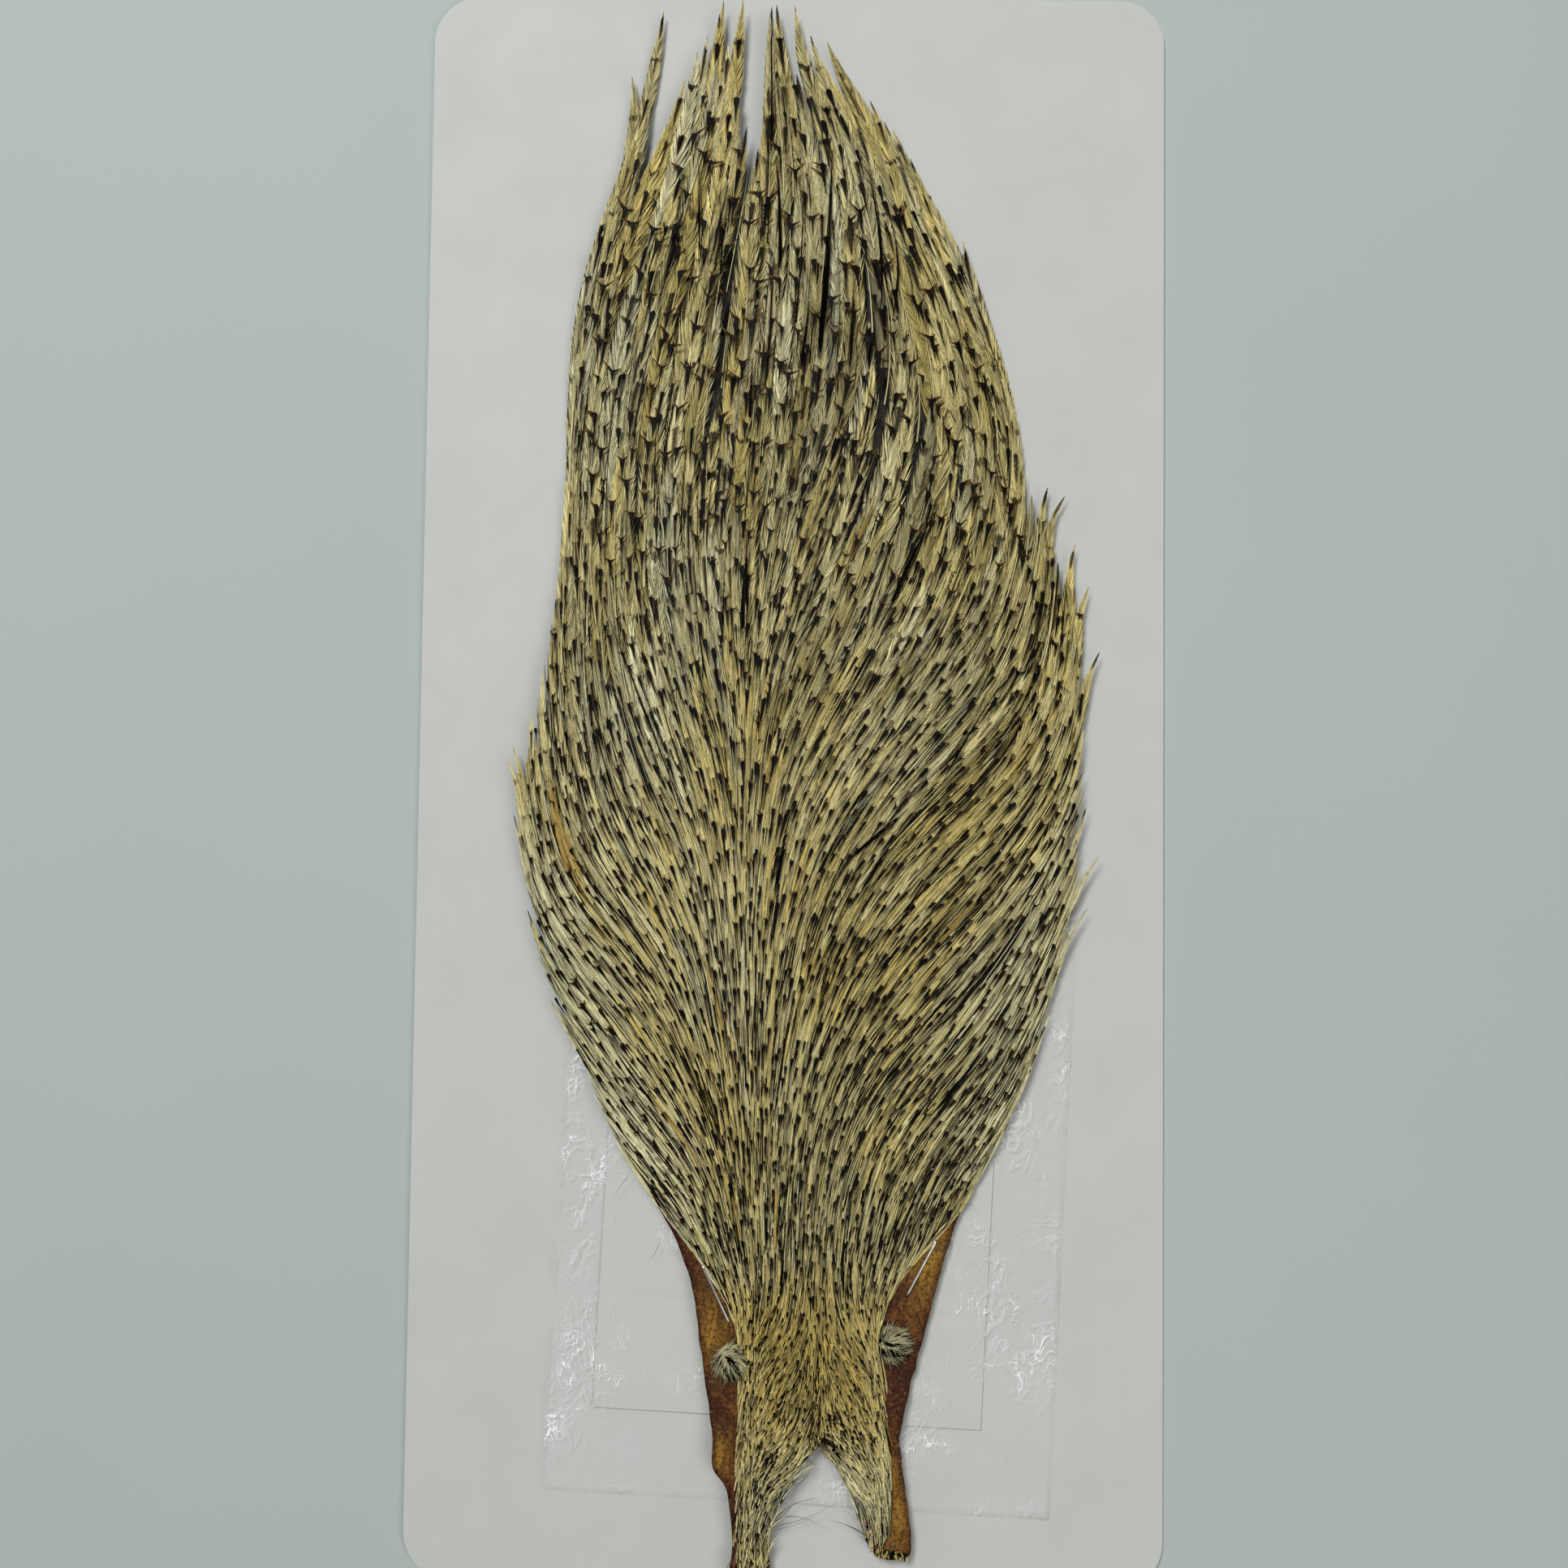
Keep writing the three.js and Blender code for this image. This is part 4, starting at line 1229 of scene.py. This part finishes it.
def hide():
    """Dried skin with a wavy, slightly turned-up edge and long wrinkles."""
    ring = rounded_ring(HIDE_OUTLINE, 0.9)
    ring += 0.07 * np.stack([ripple(*ring.T, 4.3, 11), ripple(*ring.T, 4.3, 12)], 1)
    inner, margin = inside_outline(ring, 1.12, 0.5)
    spots = np.concatenate([ring, inner])
    count = len(ring)
    loop = [(i, (i + 1) % count) for i in range(count)]
    found = delaunay_2d_cdt([Vector(p) for p in spots], loop, [], 1, 1e-6)
    spots = np.array([tuple(v) for v in found[0]])
    faces = np.array([f for f in found[2] if len(f) == 3])
    from_edge = np.concatenate([np.zeros(count), margin])[:len(spots)]
    x, y = spots.T
    wrinkle = 0.16 * ripple(2.4 * x, 0.7 * y, 7, 21) + 0.09 * ripple(x, y, 2.2, 22)
    turned = 0.45 * np.exp(-from_edge / 1.2) * (1 + 0.6 * ripple(x, y, 9, 23))
    shown = smoothstep(-y, 60, 95)
    top = HIDE_TOP + shown * (wrinkle + turned)
    bottom = np.minimum(HIDE_BASE + 0.05 + shown * 0.6 * turned, top - 0.35)
    points = np.concatenate([np.stack([x, y, top], 1), np.stack([x, y, bottom], 1)])
    size = len(spots)
    triangles = [*faces, *(faces[:, ::-1] + size)]
    for a, b in loop:
        triangles += [(a, a + size, b + size), (a, b + size, b)]
    piece = mesh_piece("hide", points, triangles, hide_finish(), "cape")
    marks = np.stack([from_edge, patches(x, y, AMBER_SKIN), patches(x, y, DARK_SKIN)], 1)
    give(piece.data, "hide_marks", np.concatenate([marks, marks]))


# Ear tufts and stray hairs

def strands(name, centre, widths, finish, tint, root=1.0):
    """Thin tapering blades with three sides along given lines of points. root is their width at the start."""
    count, steps = len(centre), centre.shape[1] - 1
    share = np.arange(steps + 1) / steps
    headings = unit(centre[:, -1] - centre[:, 0])
    sideways = unit(np.cross(headings, (0, 0, 1.0)))
    upward = np.cross(sideways, headings)
    thick = widths[:, None] * (1 - 0.92 * share) * np.minimum(1, root + 4 * share)
    vanes = Vanes()
    corners = [centre + thick[..., None] * (math.cos(a) * sideways + math.sin(a) * upward)[:, None]
               for a in (math.pi / 2, math.pi * 7 / 6, math.pi * 11 / 6)]
    looks = plain_looks(count * steps)
    looks[:, TONE:] = np.repeat(tint, steps, axis=0)
    for near, far in zip(corners, corners[1:] + corners[:1]):
        along = np.stack([share[:-1], share[:-1], share[1:], share[1:]], 1)
        place = np.zeros((count, steps, 4, 3))
        place[..., 0] = 3.0
        # Painted shade: each hair is darker at its root than at its tip.
        place[..., 2] = 0.6 + 0.4 * along[None]
        vanes.add(quads(near, far), place.reshape(-1, 4, 3), looks, QUAD_FACES[:, ::-1], QUAD_CORNERS)
    vanes.piece(name, finish)


def hairs(name, roots, headings, lengths, widths, bends, finish, tint):
    """Hairs from their roots, bent sideways and down."""
    share = np.arange(7) / 6
    headings = unit(headings)
    sideways = unit(np.cross(headings, (0, 0, 1.0)))
    upward = np.cross(sideways, headings)
    centre = roots[:, None] + headings[:, None] * (lengths[:, None] * share)[..., None]
    centre += sideways[:, None] * (bends[:, :1] * lengths[:, None] * share ** 2)[..., None]
    centre += upward[:, None] * (bends[:, 1:] * lengths[:, None] * share ** 2)[..., None]
    strands(name, centre, widths, finish, tint)


def ear_tufts(finish):
    """Round tufts of short grey-cream hair, striped with black, that curl over the ear."""
    rng = np.random.default_rng(SEED + 1)
    for (x, y, radius, turn), name in zip(EAR_TUFTS, ("ear_tuft_left", "ear_tuft_right")):
        count = TUFT_HAIRS
        around = rng.uniform(0, 2 * math.pi, count)
        out = np.sqrt(rng.uniform(0, 1, count))
        level = np.sqrt(1 - 0.96 * out ** 2)
        off_x, off_y = radius * out * np.cos(around), radius * out * np.sin(around)
        cos, sin = math.cos(math.radians(turn)), math.sin(math.radians(turn))
        beside = (off_y * cos - off_x * sin) / radius
        ahead = (off_x * cos + off_y * sin) / radius
        swirl = math.radians(turn) - 0.9 * ahead * np.sign(beside) - 0.5 * beside
        headings = np.stack([0.8 * np.cos(swirl) + 0.6 * out * np.cos(around),
                             0.8 * np.sin(swirl) + 0.6 * out * np.sin(around), 0.1 + 0.35 * level], 1)
        headings = unit(headings)
        lengths = rng.uniform(1.4, 3.0, count)
        spots = np.stack([x + 0.85 * off_x, y + 0.85 * off_y, HIDE_TOP - 0.6 + (EAR_HEIGHT - 1.0) * level], 1)
        spots -= 0.3 * lengths[:, None] * headings
        bends = np.stack([rng.normal(0, 0.35, count), -0.35 - 0.35 * out], 1)
        stripe = np.sin(2.9 * beside * radius + 0.9 * ripple(off_x, off_y, 3.4, 31)) - 0.6 * off_y / radius
        fleck = (stripe > 0.9 * out ** 3 - 0.1) & (rng.random(count) < 0.94)
        tint = np.stack([rng.uniform(0.6, 1.35, count), rng.uniform(0.0, 0.35, count), 0.98 * fleck], 1)
        hairs(name, spots, headings, lengths, rng.uniform(0.10, 0.18, count), bends, finish, tint)


# Hairs given one by one, each row through three points: thickness, tone, darkness and how many, then x and y
# of the three
WISPS = [
    (0.15, 1.2, 0, 4, 6.8, -131.1, 3.2, -135, 0.2, -139),
    (0.15, 1.1, 0, 4, 5.6, -131.6, 1.3, -137, -3, -142),
    (0.15, 1.1, 0, 4, 9.6, -134.6, 12.2, -138.4, 14.8, -144.2),
    (0.14, 1.1, 0, 3, 4.8, -127.6, 2.3, -131, 0.2, -134.8),
    (0.14, 1.1, 0, 3, 15.4, -135, 17.4, -139.2, 18.2, -144.6),
    (0.15, 1.15, 0, 4, 8.4, -130.6, 12, -131.6, 14.8, -134.4),
    (0.15, 1.2, 0, 5, 7.6, -131.8, 11, -133.2, 15.4, -139),
    (0.15, 1.15, 0, 5, 8.4, -133.2, 11.6, -135.4, 14.6, -139.6),
    (0.14, 1.15, 0, 4, 3.6, -135.8, -0.2, -139.6, -3.8, -144.6),
    (0.14, 1.1, 0, 4, 2.4, -138.4, -1.6, -142, -4, -147),
    (0.14, 1.1, 0, 4, 12.8, -138.2, 15, -142.8, 17, -148),
    (0.14, 1, 0, 3, 10.2, -130.8, 13.8, -133.2, 16.4, -137.2),
    (0.09, 0.5, 0.9, 1, 5.6, -138.8, 3.9, -140.5, 2.1, -142.5),
    (0.14, 0.5, 0.9, 3, 7.2, -130.4, 5.4, -132.4, 4, -134),
    (0.14, 0.5, 0.9, 3, 9.2, -130.6, 11.2, -131.6, 12.4, -132.8),
    (0.12, 0.5, 0.9, 2, 8.2, -132.4, 10.4, -133.6, 12.6, -136),
    (0.07, 0.9, 0.55, 2, -3, -150, 1.6, -145.6, 10.2, -143.8),
    (0.07, 0.9, 0.5, 2, -2.6, -149.8, 4, -148.6, 11, -144.8),
    (0.08, 0.9, 0.5, 2, -3, -151, 2.4, -147.6, 9.2, -150.2),
    (0.09, 0.8, 0.6, 2, 17.6, -152, 14, -149.6, 9.2, -148.4),
    (0.07, 0.9, 0.4, 2, 0.4, -147.4, 1.4, -146, 3, -144.4),
    (0.07, 0.9, 0.4, 2, 4.4, -134.6, 5.6, -136, 6.6, -137.2),
    (0.08, 0.7, 0.5, 2, 17.8, -153, 16.6, -151.8, 15.2, -151.2),
    (0.08, 0.9, 0.3, 2, 8.2, -136.2, 9.8, -136.4, 11.6, -138),
    (0.07, 0.7, 0.5, 1, -31, -80.6, -33, -83, -34.4, -85.6),
    (0.06, 0.7, 0.5, 1, -25, -94, -26, -96.4, -27.2, -98.4),
    (0.06, 0.7, 0.5, 1, 35.4, -86, 37, -85.8, 38.6, -87.2),
    (0.07, 0.8, 0.3, 3, -9.4, -156, -10.6, -157.8, -10.8, -159.8),
    (0.3, 0.5, 0.97, 8, 4.6, 84, 6.4, 104, 7.2, 128.5),
    (0.24, 0.5, 0.97, 5, 17.5, 94, 17, 112, 13.4, 130.5),
    (0.24, 0.5, 0.97, 5, -3.2, 103, -3.4, 115, -4.4, 127),
    (0.24, 0.5, 0.97, 5, 12, -17, 17, -12.5, 23.5, -7),
    (0.24, 0.5, 0.97, 5, 19.5, 33, 24, 43, 29, 54),
    (0.18, 0.5, 0.97, 4, -5.2, 127, -5.3, 142, -5.5, 156.5),
    (0.18, 0.5, 0.97, 4, 10.8, 82, 11.5, 92, 11.9, 102),
    (0.18, 0.5, 0.97, 4, -9, 32, -9.1, 41, -9.6, 50),
    (0.18, 0.5, 0.97, 4, -15.1, 100, -15.3, 110, -15.7, 118),
    (0.18, 0.5, 0.97, 4, -19.5, 105, -19.8, 115, -20.2, 126),
    (0.18, 0.5, 0.97, 4, -2.6, -24, -1.6, -17, 0.2, -10),
    (0.18, 0.5, 0.97, 4, 20, 93, 21, 104, 19.6, 114),
    (0.13, 0.5, 0.95, 3, -20.8, -9, -30, 14, -40, 38),
    (0.13, 0.5, 0.95, 3, -11, -12, -13.5, 2, -18, 16),
    (0.13, 0.5, 0.95, 3, 22, -30, 31, -16, 42, -6),
    (0.13, 0.5, 0.95, 3, 30, -2, 38, 12, 45, 22),
    (0.13, 0.5, 0.95, 3, -28, -36, -36, -22, -44, -10),
    (0.13, 0.5, 0.95, 3, 6, -48, 9, -34, 13, -22),
]


def wisps(finish):
    """Pale strands that arch over the fork, and loose hairs beside the legs and the neck."""
    rng = np.random.default_rng(SEED + 2)
    share = np.arange(11)[None, :, None] / 10
    lines, widths, tint = [], [], []
    for thick, tone, darkness, count, *row in WISPS:
        spread = rng.normal(0, 0.22 * (count > 1), (3, count, 1, 2))
        start, middle, end = np.array(row).reshape(3, 1, 1, 2) + spread
        knot = 2 * middle - (start + end) / 2
        lines.append((1 - share) ** 2 * start + 2 * share * (1 - share) * knot + share ** 2 * end)
        widths.append(thick * rng.uniform(0.75, 1.2, count))
        tint.append(np.stack([tone * rng.uniform(0.8, 1.2, count), rng.uniform(0.2, 0.6, count),
                              np.full(count, darkness)], 1))
    lines = np.concatenate(lines)
    x, y = lines[..., 0], lines[..., 1]
    height = coat_height(x, y) + 0.4 + 0.4 * smoothstep(y, -70, 0) + rng.uniform(0, 0.25, len(lines))[:, None]
    lines = np.dstack([x, y, height])
    strands("wisps", lines, np.concatenate(widths), finish, np.concatenate(tint), root=0.1)


def quill_stubs(finish):
    """Cut quills, yellowish and black, in ragged rows over the end of the right leg."""
    rng = np.random.default_rng(SEED + 3)
    count = QUILLS
    along = rng.uniform(0, 1, count)
    row = rng.integers(0, 2, count)
    across = LEG_CUT["x"] + LEG_CUT["width"] * along
    down = LEG_CUT["y"] - LEG_CUT["slant"] * np.sqrt(along) - 0.7 * row
    roots = np.stack([across, down, HIDE_TOP - 0.1 + rng.uniform(0, 0.7, count)], 1)
    headings = np.stack([0.5 * (along - 0.5) + rng.normal(0, 0.3, count), -np.ones(count),
                         rng.uniform(0.1, 0.9, count)], 1)
    bends = rng.normal(0, 0.1, (count, 2))
    black = rng.random(count) < 0.45
    tint = np.stack([rng.uniform(0.9, 1.4, count), rng.uniform(0.6, 1.0, count), 0.95 * black], 1)
    hairs("quill_stubs", roots, headings, rng.uniform(0.7, 1.2, count), rng.uniform(0.30, 0.46, count), bends,
          finish, tint)


# Card, packet, insert and staples

def rounded_rectangle(width, length, corner, steps=10):
    """Counterclockwise outline of a rectangle with round corners."""
    points = []
    for turn, (sx, sy) in enumerate(((1, -1), (1, 1), (-1, 1), (-1, -1))):
        for step in range(steps + 1):
            angle = math.pi / 2 * (turn - 1 + step / steps)
            centre = (sx * (width / 2 - corner), sy * (length / 2 - corner))
            points.append((centre[0] + corner * math.cos(angle), centre[1] + corner * math.sin(angle)))
    return np.array(points)


def card():
    """Backing card with die-cut edges, a little rounded over."""
    width, length, _ = CARD_HIGH - CARD_LOW
    top, round_over = CARD_HIGH[2], CARD_EDGE_ROUND
    levels = [(round_over, 0.0)]
    for step in range(4):
        angle = math.pi / 2 * step / 3
        levels.append((round_over * (1 - math.sin(angle)), round_over * (1 - math.cos(angle))))
    levels += [(inset, top - height) for inset, height in reversed(levels)]
    rings = []
    for inset, height in levels[1:-1]:
        ring = rounded_rectangle(width - 2 * inset, length - 2 * inset, CARD_CORNER - inset)
        rings.append(np.column_stack([ring, np.full(len(ring), height)]))
    size = len(rings[0])
    faces = ring_faces(len(rings), size)
    middle = len(rings) * size
    last = middle - size
    for i in range(size):
        faces += [(middle, (i + 1) % size, i), (middle + 1, last + i, last + (i + 1) % size)]
    points = np.concatenate([*rings, [(0, 0, 0), (0, 0, top)]])
    mesh_piece("backing_card", points, faces, card_finish(), "card", smooth=False)


def grid(sheet, rows, columns):
    """Points of a flat sheet in even rows, about its middle."""
    u, v = np.meshgrid(np.linspace(-0.5, 0.5, columns), np.linspace(-0.5, 0.5, rows))
    return np.stack([(u * sheet["width"]).ravel(), (v * sheet["length"]).ravel()], 1)


def turned(spots):
    """Points of the packet's own frame, turned and moved with it."""
    angle = math.radians(PACKET["turn"])
    x = PACKET["x"] + spots[:, 0] * math.cos(angle) - spots[:, 1] * math.sin(angle)
    y = PACKET["y"] + spots[:, 0] * math.sin(angle) + spots[:, 1] * math.cos(angle)
    return x, y


def packet():
    """Clear film packet: a crinkled upper film over a flat lower one, sealed at the sides and the bottom."""
    width, length = PACKET["width"], PACKET["length"]
    rows, columns = 84, 68
    spots = grid(PACKET, rows, columns)
    x, y = turned(spots)
    left, right = (smooth_curve(y, *side.T) for side in (HIDE_LEFT, HIDE_RIGHT))
    free = np.maximum(smoothstep(left - x, -1, 7), smoothstep(x - right, -1, 7))
    free *= 1 - smoothstep(y, -78, -60)
    edge = np.minimum(width / 2 - np.abs(spots[:, 0]), spots[:, 1] + length / 2)
    sealed = smoothstep(edge, PACKET["seal"], PACKET["seal"] + 4)
    folds = 1 - np.abs(ripple(x, y, 17, 41)) * 1.2
    crinkle = 0.34 * folds + 0.16 * (1 - np.abs(ripple(x, y, 6, 42))) + 0.05 * ripple(x, y, 2.4, 43)
    top = PACKET_TOP - 0.16 + free * (0.12 * (1 - sealed) * ripple(x, y, 12, 44) + sealed * (crinkle - 0.1))
    top = np.maximum(top, INSERT_TOP + 0.12)
    bottom = np.full_like(top, PACKET_BASE + 0.05)
    points, faces = thin_sheet(x, y, top, bottom, rows, columns, open_end=True)
    mesh_piece("packet_film", points, faces, film_finish(), "packet")


def insert():
    """Folded paper in the packet: two leaves with a soft fold, and creases where it was folded before."""
    width, length = INSERT["width"], INSERT["length"]
    rows, columns = 68, 52
    spots = grid(INSERT, rows, columns)
    x, y = turned(spots + (INSERT["x"], INSERT["y"]))
    across, along = spots.T
    crease = np.exp(-((along + 0.28 * length) / 0.9) ** 2)
    crease += np.exp(-((across - 0.18 * width) / 0.8) ** 2)
    rim = np.minimum(width / 2 - np.abs(across), length / 2 - np.abs(along))
    bottom = np.full_like(x, INSERT_BASE)
    top = INSERT_TOP - 0.03 - 0.14 * crease + 0.03 * ripple(x, y, 22, 51)
    top = bottom + 0.02 + (top - bottom - 0.02) * smoothstep(rim, -1.0, 7.0)
    points, faces = thin_sheet(x, y, top, bottom, rows, columns)
    mesh_piece("folded_insert", points, faces, paper_finish(), "insert", smooth=False)


def staple(name, x, y, turn, finish):
    """Round-edged wire: the crown on the hide, and its two legs down through the card and clinched."""
    low, high = (np.array(corner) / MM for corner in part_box(name))
    half = STAPLE_CROWN / 2 - STAPLE_WIRE / 2
    top, bottom = high[2] - STAPLE_WIRE / 2, low[2] + STAPLE_WIRE / 2
    clinch = half - 4.1
    route = [(-clinch, bottom), (-half, bottom), (-half, top), (half, top), (half, bottom), (clinch, bottom)]
    line = rounded_route(np.array(route), 0.45)
    along = unit(np.gradient(line, axis=0))
    out = np.stack([-along[:, 1], along[:, 0]], 1)
    sides = 10
    angle = math.radians(turn)
    axis, across = np.array([math.cos(angle), math.sin(angle)]), np.array([-math.sin(angle), math.cos(angle)])
    points = []
    for centre, normal in zip(line, out):
        for k in range(sides):
            theta = 2 * math.pi * (k + 0.5) / sides
            flat = STAPLE_WIRE / 2 * np.sign([math.cos(theta), math.sin(theta)])
            flat = flat * np.abs([math.cos(theta), math.sin(theta)]) ** 0.6
            along_crown = centre[0] + normal[0] * flat[0]
            height = centre[1] + normal[1] * flat[0]
            ground = np.array([x, y]) + axis * along_crown + across * flat[1]
            points.append((*ground, height))
    faces = ring_faces(len(line), sides)
    last = (len(line) - 1) * sides
    for k in range(1, sides - 1):
        faces += [(0, k + 1, k), (last, last + k, last + k + 1)]
    mesh_piece(name + "_wire", points, faces, finish, name)


def rounded_route(route, radius):
    """The route with each of its corners replaced by a short arc."""
    points = [route[0]]
    for before, corner, after in zip(route[:-2], route[1:-1], route[2:]):
        start = corner + radius * (before - corner) / np.linalg.norm(before - corner)
        end = corner + radius * (after - corner) / np.linalg.norm(after - corner)
        for t in np.linspace(0, 1, 5):
            points.append((1 - t) ** 2 * start + 2 * t * (1 - t) * corner + t ** 2 * end)
    return np.array([*points, route[-1]])


# Stage

def soft_light(name, place, size, power, colour):
    lamp = bpy.data.lights.new(name, "AREA")
    lamp.shape = "DISK"
    lamp.size = size
    lamp.energy = power
    lamp.color = colour
    holder = bpy.data.objects.new(name, lamp)
    holder.location = place
    holder.rotation_euler = (-Vector(place)).to_track_quat("-Z", "Y").to_euler()
    bpy.context.scene.collection.objects.link(holder)


def stage():
    floor = bpy.data.meshes.new("table")
    reach = 2.5
    floor.from_pydata([(-reach, -reach, 0), (reach, -reach, 0), (reach, reach, 0), (-reach, reach, 0)], [],
                      [(0, 1, 2, 3)])
    finish = Finish("pale_table")
    cloud = finish.noise(finish.spot(), 9.0, 3.0)
    colour = finish.mix(cloud, shade("C2CBC8"), shade("BCC5C1"))
    floor.materials.append(finish.done(finish.surface(Base_Color=colour, Roughness=0.7)))
    table = bpy.data.objects.new("table", floor)
    bpy.context.scene.collection.objects.link(table)
    soft_light("window_light", (-0.42, 0.66, 1.28), 0.5, 13.0, (0.97, 0.99, 1.0))
    soft_light("fill_light", (0.8, -0.55, 1.1), 1.0, 5.6, (1.0, 0.98, 0.94))
    world = bpy.data.worlds.new("studio")
    world.use_nodes = True
    world.node_tree.nodes["Background"].inputs[0].default_value = (0.92, 0.96, 1.0, 1.0)
    world.node_tree.nodes["Background"].inputs[1].default_value = 0.15
    bpy.context.scene.world = world
    bpy.context.scene.view_settings.view_transform = "Standard"


CAMERA_PLACE = (0.0033, -0.0175, 0.3440)
CAMERA_TILT = (2.62, 0.73, 0.66)
FOCAL_SHARE = 1.07


def camera():
    lens = bpy.data.cameras.new("camera")
    lens.sensor_width = 36.0
    lens.lens = FOCAL_SHARE * lens.sensor_width
    lens.clip_start = 0.01
    holder = bpy.data.objects.new("camera", lens)
    holder.location = CAMERA_PLACE
    holder.rotation_euler = [math.radians(a) for a in CAMERA_TILT]
    bpy.context.scene.collection.objects.link(holder)
    bpy.context.scene.camera = holder


camera()
stage()
card()
insert()
packet()
wire = wire_finish()
for staple_name, (at_x, at_y, degrees) in STAPLES.items():
    staple(staple_name, at_x, at_y, degrees, wire)
hide()
under_plumage()
barred = feather_finish()
plumage(barred)
ear_tufts(barred)
wisps(barred)
quill_stubs(barred)
